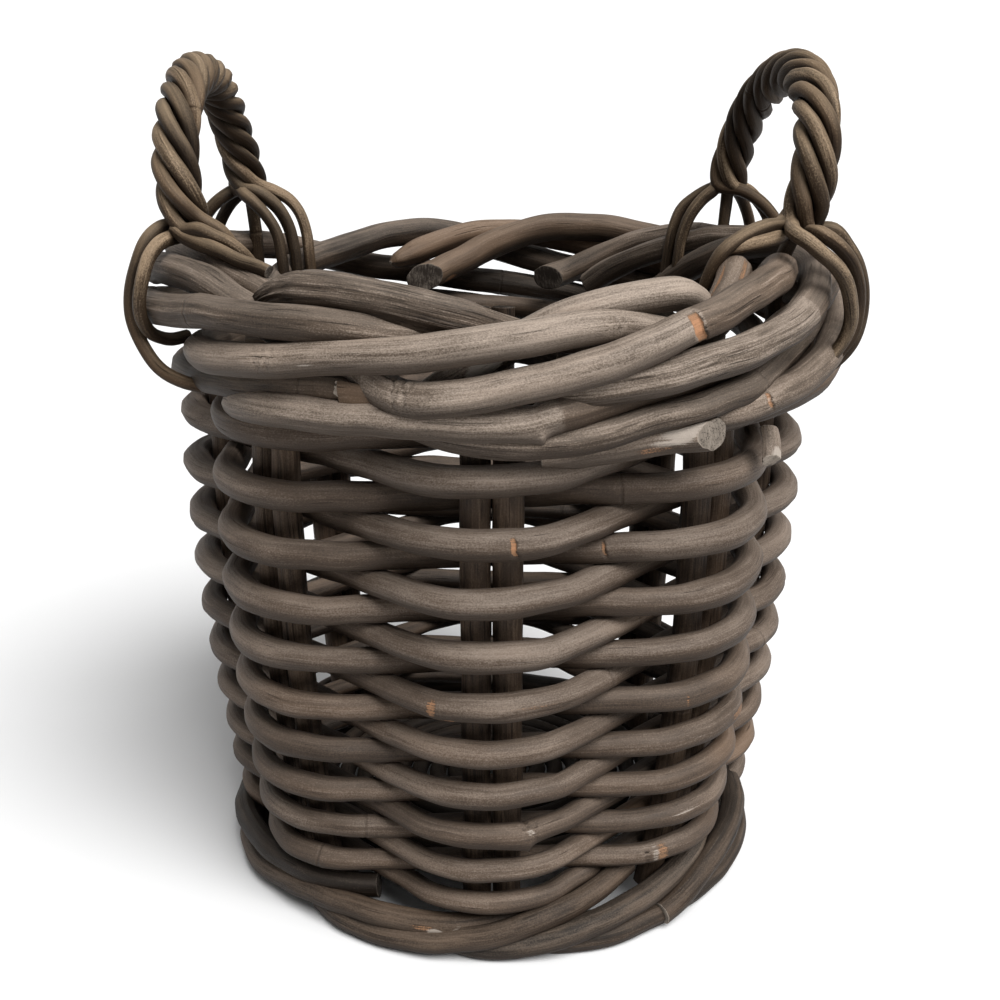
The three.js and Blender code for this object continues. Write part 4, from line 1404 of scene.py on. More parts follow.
@dataclass(frozen=True)
class Body:
    """The woven wall.

    A weaver is full size at a corner and nipped flat between corners, where it is also darker:
    painted shade where it passes inside, with some dirt.
    Each change starts at some degrees from the corner and grows over its reach. Each rod of a
    strand is a little paler and greyer than the one below it.
    """

    weave: Weave
    end_gap: float = 0.8
    bearing_step: float = 0.6
    nip_start: float = 4.0
    nip_reach: float = 10.0
    inner_shade_and_dirt: float = 0.20
    dark_start: float = 18.0
    dark_reach: float = 20.0
    tone: float = 0.50
    warmth: float = 0.22
    rod_change: float = 0.07
    strands: tuple[Strand, ...] = (
        Strand("a", 0.0, 0.0, (-0.375, 2.625, 5.625, 9.625), (
            Mark(Wear.STAIN, -72, 0, 40, 0, 0.6),
            Mark(Wear.STAIN, 96, 0, 20, 0, 0.8),
            Mark(Wear.STAIN, 401, 0, 24, 0, 0.9),
            Mark(Wear.STAIN, 440, 0, 18, 0, 0.8),
            Mark(Wear.STAIN, 1122, 0, 30, 0, 0.6),
            Mark(Wear.STAIN, 2200, 0, 40, 0, 0.5),
            Mark(Wear.KINK, 726.4, 50, 4, 7, 0.7),
            Mark(Wear.POINT, 726.2, 166, 6, 8, 1.25),
            Mark(Wear.SCUFF, 726.6, 66, 2.2, 2.4, 0.75),
            Mark(Wear.PEEL, 1790.5, 84, 2.4, 7.5, 0.72),
            Mark(Wear.PEEL, 1793, 150, 5, 3, 0.7),
            Mark(Wear.SPLIT, 1808, 92, 24, 0.6, 2.2),
            Mark(Wear.PEEL, 1808, 78, 22, 1.3, 0.5),
            Mark(Wear.BREAK, 2883.5, 85, 3.0, 4.6, 0.72),
        )),
        Strand("b", 45.0, 0.5, (-0.5, 4.5, 9.25), (
            Mark(Wear.PEEL, 36.9, 80, 4, 6.5, 0.62),
            Mark(Wear.SCUFF, 35.5, 82, 2.4, 5.5, 0.78),
            Mark(Wear.SPLIT, 33.9, 80, 1.5, 6, 1.1),
            Mark(Wear.STAIN, 60, 0, 30, 0, 0.6),
            Mark(Wear.STAIN, 776, 0, 26, 0, 0.7),
            Mark(Wear.PEEL, 1066, 165, 8, 4, 0.75),
            Mark(Wear.PEEL, 1477, 80, 1.6, 5, 0.62),
            Mark(Wear.BREAK, 2542, 70, 2.4, 4.0, 0.62),
            Mark(Wear.PEEL, 1133, 90, 13, 4, 0.6),
            Mark(Wear.SCUFF, 1120, 70, 14, 2.2, 0.6),
            Mark(Wear.SCUFF, 400, 60, 11, 2.2, 0.6),
        )),
    )

    def line(self, strand: Strand, start: float, end: float) -> Centreline:
        """Centre line of one weaver.

        Args:
            strand: Its strand.
            start: Turns of the strand where it starts.
            end: Turns of the strand where it ends.

        Returns:
            The centre line.
        """
        trim = math.degrees(self.end_gap / 2 / self.weave.floor_radius)
        bearings = np.arange(start * 360 + trim, end * 360 - trim, self.bearing_step)
        points, radii, flats, shade = [], [], [], []
        for bearing in bearings:
            offset = (bearing - strand.corner + 45) % 90 - 45
            height = self.weave.row_height(bearing / 360 + strand.lead)
            thick = self.weave.weaver_size(height)
            nip = min(1.0, (self.weave.row_spacing(height) - self.weave.nip_gap) / thick)
            ease = min(max((abs(offset) - self.nip_start) / self.nip_reach, 0.0), 1.0)
            ease = ease * ease * (3 - 2 * ease)
            points.append(place(bearing, self.weave.plan_radius(offset, height), height))
            radii.append(thick / 2)
            flats.append(1 + (nip - 1) * ease)
            # Painted shade with some dirt: darker where the weaver passes inside, away from the corners.
            inner = min(max((abs(offset) - self.dark_start) / self.dark_reach, 0.0), 1.0)
            shade.append(-self.inner_shade_and_dirt * inner)
        columns = [np.array(values) for values in (points, radii, flats)]
        return Centreline(*columns, bearings, shade=np.array(shade))

    def build(self, bench: Workbench) -> None:
        """Lays all weavers.

        Args:
            bench: Where they are built.
        """
        for strand in self.strands:
            for index, (start, end) in enumerate(zip(strand.splits[:-1], strand.splits[1:])):
                marks = tuple(m for m in strand.marks if start * 360 < m.bearing < end * 360)
                change = self.rod_change * index
                habit = Habit(self.tone + change, self.warmth - change, grain=0.15, marks=marks, sides=26)
                line = self.line(strand, start, end)
                bench.lay(f"weaver_{strand.letter}{index + 1}", line, habit, bench.finishes.weaver)


@dataclass(frozen=True)
class LaidRod:
    """A rod of the border or the foot: diameter, route of bearing, radius and height, and habit."""

    size: float
    route: Route
    habit: Habit
    flat: float = 1.0

    def line(self, side: Side = Side.UPRIGHT) -> Centreline:
        """Centre line of the rod."""
        return Centreline.along_route(self.route, self.size, side, self.flat)


BORDER_RODS: dict[str, LaidRod] = {
    "border_rod_01": LaidRod(15, (
        (-176, 149, 262), (-166, 157, 265), (-155, 166, 270), (-143, 170, 273), (-130, 172, 278),
        (-118, 172, 283.5), (-105, 172, 290.5), (-92, 172, 298), (-81, 172, 303.5), (-70, 172, 308),
        (-60, 172, 311.5), (-47, 171, 316), (-37, 170, 317.5), (-27, 168.5, 318), (-19, 164, 316),
        (-12, 156, 312), (-5, 148, 307), (1, 142, 302),
    ), Habit(tone=0.44, warmth=0.12, furrow=0.2, grain=0.45)),
    "border_rod_02": LaidRod(15.4, (
        (-76, 134, 287), (-70, 140, 289), (-65, 147.5, 290.5), (-60, 155, 291.8), (-54, 163, 293.8),
        (-47, 169, 296.5), (-37, 171, 299.5), (-28, 171, 303), (-12, 171, 309), (1, 170.5, 314.5),
        (9, 169, 317.5), (15, 166, 319), (20, 162.5, 317.5), (25, 160, 313.5), (30, 158.5, 310),
        (34, 158.5, 310.5), (37.5, 158, 315), (40.5, 155, 321), (43.5, 151.5, 326.8), (46.5, 147.5, 330),
        (50, 142.5, 328), (54, 138.5, 320.5), (58, 135.5, 311),
    ), Habit(
        tone=0.74, warmth=0.26, furrow=0.08, tone_steps=((38, -0.16),), warmth_steps=((38, 0.2),), marks=(
            Mark(Wear.KINK, -32.5, 70, 5, 6, 0.7), Mark(Wear.SCUFF, -25.5, 104, 6, 0.7, 0.95),
            Mark(Wear.SPLIT, -33, 70, 9, 4.5, 0.8), Mark(Wear.KINK, 16, 80, 4, 5, 0.8),
            Mark(Wear.PEEL, 41.5, 330, 16, 1.4, 0.75), Mark(Wear.PEEL, 44, 40, 15, 1.2, 0.72),
            Mark(Wear.PEEL, 43, 75, 12, 1.1, 0.7), Mark(Wear.SPLIT, 43, 80, 14, 4.5, 0.7),
        ),
    )),
    "border_rod_03": LaidRod(16.2, (
        (-39.5, 158.5, 321.5), (-35.5, 159, 326.5), (-29, 159.5, 330), (-20, 159, 329.5), (-13, 158, 326),
        (-6, 156, 321), (-1, 151, 316), (4, 144, 310), (10, 137, 303),
    ), Habit(tone=0.44, warmth=0.06, furrow=0.34, grain=0.7, start=End(Cut.TAPERED), marks=(
        Mark(Wear.SPLIT, -24, 70, 26, 4.5, 0.9), Mark(Wear.SPLIT, -14, 100, 24, 4.5, 0.9),
        Mark(Wear.SPLIT, -31, 110, 14, 4.5, 0.8), Mark(Wear.SPLIT, -18, 50, 18, 4.5, 0.8),
    ))),
    "border_rod_04": LaidRod(14.4, (
        (-9, 156, 289), (-4, 156.5, 299), (2, 157, 309), (6, 158, 315.5), (10, 159, 321), (16, 160, 326.5),
        (24, 159, 328), (30, 156.5, 327), (35, 150.5, 321.5), (39, 144.5, 314), (43, 139.5, 306),
        (46, 137, 300),
    ), Habit(tone=0.82, warmth=0.12, furrow=0.12, marks=(
        Mark(Wear.SPLIT, 31, 70, 16, 4.5, 0.4), Mark(Wear.SCUFF, -1.6, 108, 8, 4, 2.0),
    ))),
    "border_rod_05": LaidRod(15.6, (
        (-26.5, 149, 300), (-21, 156, 297.5), (-17, 163, 294.2), (-13.2, 168.8, 291.2), (-10, 171.6, 290.5),
        (-5, 172.5, 292), (1, 172.5, 295), (9, 173, 300), (15, 174, 305), (20, 174.5, 310),
        (30, 172.5, 318.3), (34, 170.5, 320.5), (39, 167, 323.7), (46, 163, 326.5), (52, 159.5, 328),
        (58, 155, 328), (62.5, 149, 325.5), (66, 142.5, 318.5), (69, 137, 309),
    ), Habit(
        tone=0.78, warmth=0.22, furrow=0.12, tone_steps=((28.6, -0.40),),
        warmth_steps=((28.6, 0.26),), marks=(
            Mark(Wear.KINK, -11.8, 50, 5, 8, 1.0), Mark(Wear.SCUFF, -5.4, 82, 5, 0.6, 0.85),
            Mark(Wear.BREAK, 28.6, 84, 5.2, 6.5, 1.0), Mark(Wear.SPLIT, 35, 85, 18, 4.5, 0.8),
            Mark(Wear.SPLIT, 41, 60, 22, 4.5, 0.8), Mark(Wear.SPLIT, 38, 115, 15, 4.5, 0.7),
        ),
    )),
    "border_rod_06": LaidRod(15.8, (
        (9, 160, 291), (14, 166, 293), (18, 170, 295), (24, 173, 297.5), (31, 173.5, 300.5), (38, 174, 303),
        (47, 173.5, 308), (56, 171, 314.5), (62, 168, 319.5), (68, 162.5, 324), (73, 156, 325.5),
        (77, 148.5, 322), (81, 141, 315), (85, 136, 306),
    ), Habit(
        tone=0.64, warmth=0.02, furrow=0.22, grain=0.5, tone_steps=((53.5, -0.24),),
        warmth_steps=((53.5, 0.14),), marks=(
            Mark(Wear.SPLIT, 33, 70, 20, 4.5, 0.8), Mark(Wear.SPLIT, 37, 45, 26, 4.5, 0.8),
            Mark(Wear.SPLIT, 44, 95, 22, 4.5, 0.7),
        ),
    )),
    "border_rod_07": LaidRod(14.8, (
        (-56, 142, 266.5), (-52, 148, 269), (-48, 154.5, 271.8), (-43, 161, 274.8), (-37, 165.5, 277.6),
        (-29, 168, 279.3), (-20, 168.5, 279.9), (-10, 168.5, 279.9), (0, 168.5, 280), (4.6, 168.5, 280.4),
        (8.6, 168, 283), (16, 164, 286.5), (24, 160.5, 288.5), (32, 159, 291), (44, 159, 297),
        (57, 160, 304), (66, 163.5, 309.5), (78, 167, 317.5), (86, 162, 323.5), (95, 154, 327),
        (104, 145, 323), (113, 139, 315), (121, 134, 306), (128, 131.5, 296), (134, 130, 285),
    ), Habit(
        tone=0.70, warmth=0.2, tone_steps=((9.0, -0.32),), warmth_steps=((9.0, 0.25),),
        marks=(Mark(Wear.POINT, 6.2, 160, 5, 6, 1.1), Mark(Wear.SPLIT, 12, 60, 12, 4.5, 0.6)),
    )),
    "border_rod_08": LaidRod(13.8, (
        (-14, 155, 277), (-8, 160, 274), (-2, 163.3, 271.6), (4, 165, 270.3), (10, 165.8, 271),
        (16, 167, 273.5), (22, 167.5, 277.5), (33, 168, 281), (41, 167, 283.5), (50, 162, 287),
        (57, 159, 290), (66, 159.5, 295), (78, 162, 304), (90, 163, 312), (100, 160, 318), (110, 154, 322),
        (120, 146, 321), (130, 139.5, 314), (139, 134, 306), (147, 131.5, 297), (154, 130, 286),
    ), Habit(tone=0.50, warmth=0.06, furrow=0.2, grain=0.4)),
    "border_rod_09": LaidRod(15, (
        (34, 159, 273.5), (39, 166, 275), (46, 170, 278), (57, 172.5, 283.5), (66, 174, 290),
        (78, 174, 297), (90, 173, 303.5), (102, 171.5, 308.5), (114, 168.5, 313), (126, 164, 316),
        (136, 159, 315.5), (145, 154.5, 310), (151.5, 150, 303), (156.5, 145, 296.8), (161, 138.5, 291.5),
        (165, 131, 288.2),
    ), Habit(tone=0.56, warmth=0.16, tone_steps=((110, -0.16),), marks=(
        Mark(Wear.BREAK, 44.3, 72, 2.6, 3.4, 0.75), Mark(Wear.SCUFF, 43.9, 72, 2.0, 3.2, 0.75),
        Mark(Wear.BAND, 68.5, length=3.0),
    ), end=End(Cut.SAWN, 38, 270, 0.03))),
    "border_rod_10": LaidRod(16.6, (
        (50, 148, 267), (58, 158, 270), (66, 166, 274), (78, 171, 281), (90, 172, 288), (102, 172, 293),
        (114, 172, 298), (126, 171.5, 303), (138, 170.5, 307.5), (148, 168, 312), (156, 164.5, 315),
        (163, 160.5, 315.5), (169, 157, 314.5), (175, 153, 310), (181, 148.5, 303.5), (187, 142.5, 297),
        (193, 135, 292.6), (198.5, 127, 290),
    ), Habit(tone=0.36, warmth=0.6, end=End(Cut.SAWN, 42, 285, 0.07), marks=(
        Mark(Wear.PEEL, 193.5, 235, 9, 3, 0.8),
    ))),
    "border_rod_11": LaidRod(15, (
        (71, 148, 265), (80, 158, 268), (90, 167, 272.5), (102, 171, 278), (114, 172, 283), (126, 172, 288),
        (138, 172, 293), (150, 171.5, 298.5), (160, 170.5, 303.5), (168, 168.5, 308), (174, 166, 311),
        (180, 161.5, 311.8), (186, 154.5, 310.5), (191, 149.5, 307.5), (196, 145, 304.5), (201, 141, 301.5),
        (206, 138, 298.4),
    ), Habit(tone=0.50, warmth=1.1, end=End(Cut.ROUNDED))),
    "border_rod_12": LaidRod(16, (
        (100, 148, 263), (110, 159, 266), (120, 168, 269.5), (132, 171, 275), (144, 172, 280),
        (156, 172, 285), (168, 172, 291), (176, 171.5, 297), (183, 169, 304), (189, 165, 309.5),
        (195, 160.5, 312.5), (202, 155.5, 312.8), (210, 150, 310), (218, 145.5, 307), (226, 142.5, 304.7),
        (234, 140, 302), (243, 136.5, 297), (252, 132, 291),
    ), Habit(tone=0.30, warmth=0.3)),
    "border_rod_13": LaidRod(15, (
        (132, 148, 262), (142, 160, 264), (152, 168, 266), (162, 171, 271), (175, 172, 276.5),
        (188, 172, 282), (202, 172, 289.5), (212, 171, 296.5), (222, 168, 305.5), (232, 165, 312),
        (242, 162.5, 316.5), (252, 160.5, 320), (262, 159, 323.5), (272, 157, 326.5), (282, 154, 328.5),
        (292, 150.5, 329.5), (302, 148, 328.5), (311, 146.5, 325.5), (319, 143.5, 319), (326, 138, 311),
    ), Habit(tone=0.42, warmth=0.14, furrow=0.16, grain=0.4)),
    "border_rod_14": LaidRod(15, (
        (162, 148, 259), (172, 160, 260), (180, 168, 262), (192, 171, 267), (205, 172, 272.5),
        (218, 172, 279.5), (230, 172, 290), (242, 172, 298), (253, 171.5, 305), (264, 170.5, 312),
        (274, 169, 318), (283, 167, 322.5), (292, 165, 326), (302, 163.5, 327.5), (311, 161, 325),
        (317, 157.5, 317.5), (323, 153, 309.5), (329, 147, 303),
    ), Habit(tone=0.42, warmth=0.08, furrow=0.2, grain=0.5)),
    "border_rod_15": LaidRod(13.6, (
        (-122, 150, 262), (-112, 155.5, 264.5), (-103, 157.5, 266.5), (-93, 157, 268.5), (-85, 156.5, 271),
        (-76, 156.5, 273.5), (-68, 157.5, 276.5), (-60, 158, 278.8), (-49, 159, 281.8), (-41, 160, 284.3),
        (-30, 161, 287.4), (-23, 160.5, 288.9), (-17, 159.5, 289), (-12, 155.5, 287), (-8, 151.5, 284),
    ), Habit(tone=0.36, warmth=0.3, end=End(Cut.TORN))),
    "border_rod_16": LaidRod(12.8, (
        (8, 151, 260.5), (16, 154.5, 263.5), (23, 160, 266.5), (28, 166.5, 268), (32.5, 174, 269.5),
    ), Habit(tone=0.70, warmth=0.34, furrow=0.2, end=End(Cut.SAWN, 50, 80, 0.40), marks=(
        Mark(Wear.SCUFF, 29.4, 38, 11, 6.5, 1.7), Mark(Wear.SCUFF, 27, 90, 12, 4, 0.75),
        Mark(Wear.PEEL, 25, 120, 12, 3.5, 0.55),
    ))),
}


BORDER_SCRAPS: dict[str, LaidRod] = {
    "torn_bark": LaidRod(12.4, (
        (-21.8, 168.4, 288.8), (-19.5, 169, 289), (-17, 168.4, 288.8), (-14, 166.4, 288.4),
        (-11, 163.6, 288),
    ), Habit(
        tone=0.40, warmth=0.8, wander=0.2, start=End(Cut.TORN, 10, 90, 0.6), end=End(Cut.TAPERED),
        sides=28, step=1.2,
    ), 0.34),
    "wedged_stub": LaidRod(8.6, (
        (49.2, 165, 261), (48.2, 168.5, 256), (46.5, 172, 249.5),
    ), Habit(
        tone=0.74, warmth=0.3, furrow=0.25, wander=0.1, end=End(Cut.SAWN, 25, 0, 0.5), sides=28, step=1.2,
        marks=(Mark(Wear.SCUFF, 48.2, 0, 6, 4, 1.3),),
    ), 0.85),
}


@dataclass(frozen=True)
class Border:
    """The thick laid rim, with the scraps of bark and rod that stick out of it."""

    rods: dict[str, LaidRod]
    scraps: dict[str, LaidRod]

    def build(self, bench: Workbench) -> None:
        """Lays all border rods.

        Args:
            bench: Where they are built.
        """
        for node, rod in self.rods.items():
            bench.lay(node, rod.line(), rod.habit, bench.finishes.border)
        for name, rod in self.scraps.items():
            bench.loose(name, rod.line(Side.OUTWARD), rod.habit, bench.finishes.border)


FOOT_RODS: dict[str, LaidRod] = {
    "foot_rod_01": LaidRod(12.2, (
        (-92, 131, 6.3), (-83, 136.5, 6.4), (-75, 139, 7), (-66, 139.8, 8), (-57, 139.2, 10),
        (-48, 137.6, 12.6), (-38, 136.6, 14.6), (-25, 136, 15.6), (-12, 135.6, 15.8), (-3, 133, 16.2),
        (4, 128.5, 16.6), (10, 123.5, 17),
    ), Habit(tone=0.56, warmth=0.30, marks=(
        Mark(Wear.SCUFF, -11.5, 105, 4, 3, 1.1), Mark(Wear.SCUFF, -7, 95, 3, 4, 0.9),
        Mark(Wear.PEEL, -14, 80, 8, 1.8, 0.6),
    ))),
    "foot_rod_02": LaidRod(12, (
        (-42, 131, 6.2), (-33, 136, 6.2), (-22, 138.8, 6.4), (-12, 139.8, 8), (-5, 140.2, 11.5),
        (2, 140.2, 16.2), (10, 138.8, 21.4), (18, 135.4, 25.4), (26, 130, 29), (33, 124.5, 32),
    ), Habit(tone=0.52, warmth=0.26)),
    "foot_rod_03": LaidRod(12.2, (
        (-12, 132, 6.2), (-2, 137.5, 6.2), (7, 140.6, 8.4), (14, 141.4, 12.2), (22, 141, 16.2),
        (32, 139.5, 19.8), (40, 137.5, 22.2), (46, 135.5, 25.6), (52, 133, 30), (58, 129, 34.4),
    ), Habit(tone=0.64, warmth=0.12)),
    "foot_rod_04": LaidRod(12, (
        (5, 131, 6.2), (14, 137, 6.1), (24, 140.4, 6.2), (34, 139.4, 6.2), (44, 137.6, 6.2),
        (54, 138.8, 6.4), (66, 140.2, 8.4), (76, 139.3, 11.3), (86, 137.8, 14.2), (98, 136.4, 15.6),
        (110, 135.4, 16.8), (120, 131, 18.4), (126, 127, 18.8),
    ), Habit(tone=0.5, warmth=0.2)),
    "foot_rod_05": LaidRod(12.4, (
        (37, 142.4, 8.6), (41, 143, 12), (46, 143.2, 18.4), (53, 143, 25.5), (62, 142, 30.4),
        (70, 139.6, 33.4), (76, 135.6, 35), (81, 130.5, 35.5),
    ), Habit(tone=0.6, warmth=0.26)),
    "foot_rod_06": LaidRod(12.2, (
        (90, 131, 6.3), (99, 137.5, 6.3), (109, 140.4, 6.8), (120, 139.8, 8.2), (132, 137.6, 11.5),
        (145, 136, 14.4), (165, 135.6, 15), (185, 135.4, 15.6), (200, 132.5, 18.3), (208, 128.5, 18.8),
        (214, 125.5, 18.8),
    ), Habit(tone=0.5, warmth=0.2)),
    "foot_rod_07": LaidRod(12.4, (
        (175, 131, 6.3), (185, 137.5, 6.4), (197, 140, 7.6), (210, 138.2, 11), (225, 136.4, 14),
        (240, 136.2, 14.6), (255, 137, 14.2), (265, 138.7, 13.8), (275, 140.2, 15), (284, 140.6, 18.5),
        (294, 140.2, 22.2), (303, 139.5, 23.5), (312, 137.5, 23), (320, 133.5, 22), (327, 127.5, 21.6),
        (332, 122, 21.6),
    ), Habit(tone=0.46, warmth=0.12, end=End(tone=0.0))),
}


@dataclass(frozen=True)
class Foot:
    """The ring that the basket stands on, and the rods laid round it."""

    rods: dict[str, LaidRod]
    ring_size: float = 12.0
    ring_flat: float = 0.86
    ring_radius: float = 126.5
    ring_height: float = 5.25
    ring_ends: tuple[float, float] = (-176.0, 176.0)
    ring_points: int = 900

    def build(self, bench: Workbench) -> None:
        """Lays the ring and the foot rods.

        Args:
            bench: Where they are built.
        """
        bearings = np.linspace(*self.ring_ends, self.ring_points)
        points = places([(bearing, self.ring_radius, self.ring_height) for bearing in bearings])
        line = Centreline.even(points, self.ring_size, bearings, flat=self.ring_flat)
        habit = Habit(tone=0.4, warmth=0.1, wander=0.0, swell=0.0, furrow=0.03, knuckle_rise=0.1)
        bench.lay("foot_ring", line, habit, bench.finishes.foot)
        for node, rod in self.rods.items():
            bench.lay(node, rod.line(), rod.habit, bench.finishes.foot)


@dataclass(frozen=True)
class Bottom:
    """Two bars on the foot ring and the flat coil that lies on them."""

    bar_size: float = 10.0
    bar_offset: float = 38.0
    bar_reach: float = 118.5
    bar_height: float = 15.8
    bar_points: int = 120
    coil_size: float = 9.0
    coil_pitch: float = 10.4
    coil_inner: float = 13.0
    coil_turns: float = 8.0
    coil_height: float = 25.7
    coil_points: int = 2600

    def build(self, bench: Workbench) -> None:
        """Lays the bars and the coil.

        Args:
            bench: Where they are built.
        """
        habit = Habit(tone=0.4, warmth=0.15, wander=0.3, step=5, sides=18)
        for node, sign in (("base_bar_front", -1), ("base_bar_back", 1)):
            points = np.linspace(
                (-self.bar_reach, sign * self.bar_offset, self.bar_height),
                (self.bar_reach, sign * self.bar_offset, self.bar_height), self.bar_points,
            )
            line = Centreline.even(points, self.bar_size, points[:, 0])
            bench.lay(node, line, habit, bench.finishes.foot)
        turns = np.linspace(0, self.coil_turns, self.coil_points)
        points = places([(360 * t, self.coil_inner + self.coil_pitch * t, self.coil_height) for t in turns])
        line = Centreline.even(points, self.coil_size, turns * 360)
        habit = Habit(tone=0.42, warmth=0.12, wander=0.25, furrow=0.06, step=5, sides=16)
        bench.lay("base_coil", line, habit, bench.finishes.foot)


@dataclass(frozen=True)
class Handle:
    """A bow whose ends go down inside the border, with canes twisted round it.

    The ways are the routes of each cane's two ends from the rope to the border. The rope is
    the stretch of the bow above its foot, where the canes make their turns.
    """

    name: str
    bow: Route
    first_ways: tuple[Route, ...]
    last_ways: tuple[Route, ...]
    bow_size: float = 6.6
    cane: float = 7.2
    cane_end: float = 5.8
    canes: int = 5
    gap: float = 0.35
    turns: float = 3.0
    rope_foot: float = 348.0
    rope_points: int = 70
    cane_spacing: float = 0.7

    def _cane(self, bow: np.ndarray, outward: np.ndarray, index: int) -> Centreline:
        """Centre line of one cane.

        Args:
            bow: Points of the bow.
            outward: Direction away from the basket.
            index: Number of the cane.

        Returns:
            The centre line.
        """
        along = lengths(bow)
        above = along[bow[:, 2] > self.rope_foot]
        shares = np.linspace(0, 1, self.rope_points)
        spots = above[0] + shares * (above[-1] - above[0])
        middle = between(bow, along, spots)
        ahead = between(bow, along, spots + 1.0) - between(bow, along, spots - 1.0)
        ahead /= np.linalg.norm(ahead, axis=1)[:, None]
        away = outward - ahead * (ahead @ outward)[:, None]
        away /= np.linalg.norm(away, axis=1)[:, None]
        across = np.cross(ahead, away)
        turn = 2 * math.pi * (index / self.canes - self.turns * shares)
        reach = (self.bow_size + self.cane) / 2 + self.gap
        rope = middle + reach * (away * np.cos(turn)[:, None] + across * np.sin(turn)[:, None])
        first = places(self.first_ways[index])[::-1]
        last = places(self.last_ways[index])
        points = curve(np.vstack([first, rope[::3], last]), self.cane_spacing)
        spot = lengths(points)
        from_end = np.minimum(spot / lengths(first)[-1], (spot[-1] - spot) / lengths(last)[-1])
        radii = (self.cane_end + (self.cane - self.cane_end) * np.clip(from_end, 0, 1)) / 2
        apart = np.linalg.norm(points[:, None, :] - bow[None, ::2, :], axis=2)
        core = bow[::2][apart.argmin(axis=1)]
        return Centreline(points, radii, np.ones(len(points)), spot, Side.CARRIED, outward, core=core)

    def build(self, bench: Workbench) -> None:
        """Lays the bow and the canes.

        Args:
            bench: Where they are built.
        """
        outward = np.array([math.copysign(1, self.bow[0][0]), 0.0, 0.0])
        bow = curve(places(self.bow))
        line = Centreline.even(bow, self.bow_size, lengths(bow), Side.OUTWARD)
        bark = bench.finishes.handle
        habit = Habit(tone=0.35, wander=0.0, sides=14, knuckle_gap=90)
        bench.lay(f"handle_bow_{self.name}", line, habit, bark)
        for index in range(self.canes):
            habit = Habit(
                tone=0.44 + 0.10 * ((index * 2 + len(self.name)) % 4 - 1.5),
                warmth=0.15 + 0.08 * (index % 3), furrow=0.07, grain=0.35, groove_shade=1.15, knuckle_gap=700,
                wander=0.3, swell=0.06, sides=20, step=1.8, start=End(tone=0.1), end=End(tone=0.1),
            )
            bench.lay(f"handle_cane_{self.name}_{index + 1}", self._cane(bow, outward, index), habit, bark)


LEFT_HANDLE = Handle(
    "left",
    (
        (-62, 135, 300), (-62, 135, 315), (-62, 137, 329), (-62.4, 145.5, 340), (-62.8, 155.8, 349),
        (-64.4, 158.2, 365), (-67, 156.8, 380), (-70.3, 153.4, 393), (-75.2, 149.4, 402),
        (-82.1, 146.4, 408), (-90, 145.3, 410.5), (-98.6, 146.7, 409), (-106.2, 150.3, 404),
        (-112, 154.8, 395), (-116.2, 158.3, 382), (-119.4, 160, 366), (-121, 159.5, 350),
        (-121, 156.5, 334), (-121, 154.5, 318), (-121, 154, 302),
    ),
    (
        (
            (-61.8, 162.2, 346), (-60.2, 160, 343.5), (-57.3, 156, 340.8), (-52.8, 152, 338.2),
            (-48.2, 149, 335.2), (-45.5, 146, 333.6), (-43, 143.5, 331.6),
        ),
        (
            (-57.6, 155.5, 346.5), (-55.8, 150.5, 343.5), (-54.2, 146, 341), (-52.9, 142, 337.5),
            (-52.5, 138, 332.5), (-52.3, 134.5, 325),
        ),
        (
            (-58.3, 144.5, 344.5), (-57.6, 140, 337.5), (-57.2, 136.5, 329), (-57, 134, 318),
            (-57, 132.5, 306), (-57, 131.5, 297),
        ),
        (
            (-65.5, 150, 343.5), (-64.6, 157, 342.5), (-63, 165, 342), (-61.2, 172, 340),
            (-60.2, 177.5, 335), (-59.7, 181.3, 326.5), (-60, 183.2, 316.5), (-60.5, 182.5, 308),
            (-61.5, 179, 301.5), (-63, 173.5, 297),
            (-65, 166.5, 294), (-67, 157.5, 293.6),
        ),
        (
            (-65, 167, 346), (-64, 174, 341.5), (-63.6, 180, 331), (-63.8, 184, 318), (-63.6, 184.6, 305.5),
            (-62.5, 181, 293.2), (-60.5, 176, 284.1), (-58, 168.5, 278.6), (-56, 159, 275),
        ),
    ),
    (
        (
            (-118.6, 158.5, 346), (-117.2, 152, 343.5), (-116.8, 145.5, 339.5), (-117.3, 139.3, 333),
            (-118, 134.5, 324), (-118, 131.5, 311), (-118, 130, 298),
        ),
        (
            (-119, 168, 344), (-116.8, 175, 337), (-115.4, 181, 326), (-114.9, 184.5, 313),
            (-115, 184, 300), (-116, 178, 287), (-117, 170, 279),
        ),
        (
            (-123.2, 166, 345), (-122.2, 174, 338.5), (-121.2, 180.5, 328), (-120.5, 184.5, 315.5),
            (-120.3, 184.4, 302), (-121, 180, 289), (-122, 172, 280),
        ),
        (
            (-124, 147, 345), (-126, 141, 340.5), (-127, 135.5, 333), (-127.3, 131.5, 322),
            (-127, 129.5, 310), (-127, 128, 297),
        ),
        (
            (-119, 150.5, 346), (-120, 144.3, 342.5), (-121.3, 138.5, 336.5), (-122.2, 133.8, 327),
            (-122.4, 130.7, 314), (-122.4, 129.2, 301),
        ),
    ),
)
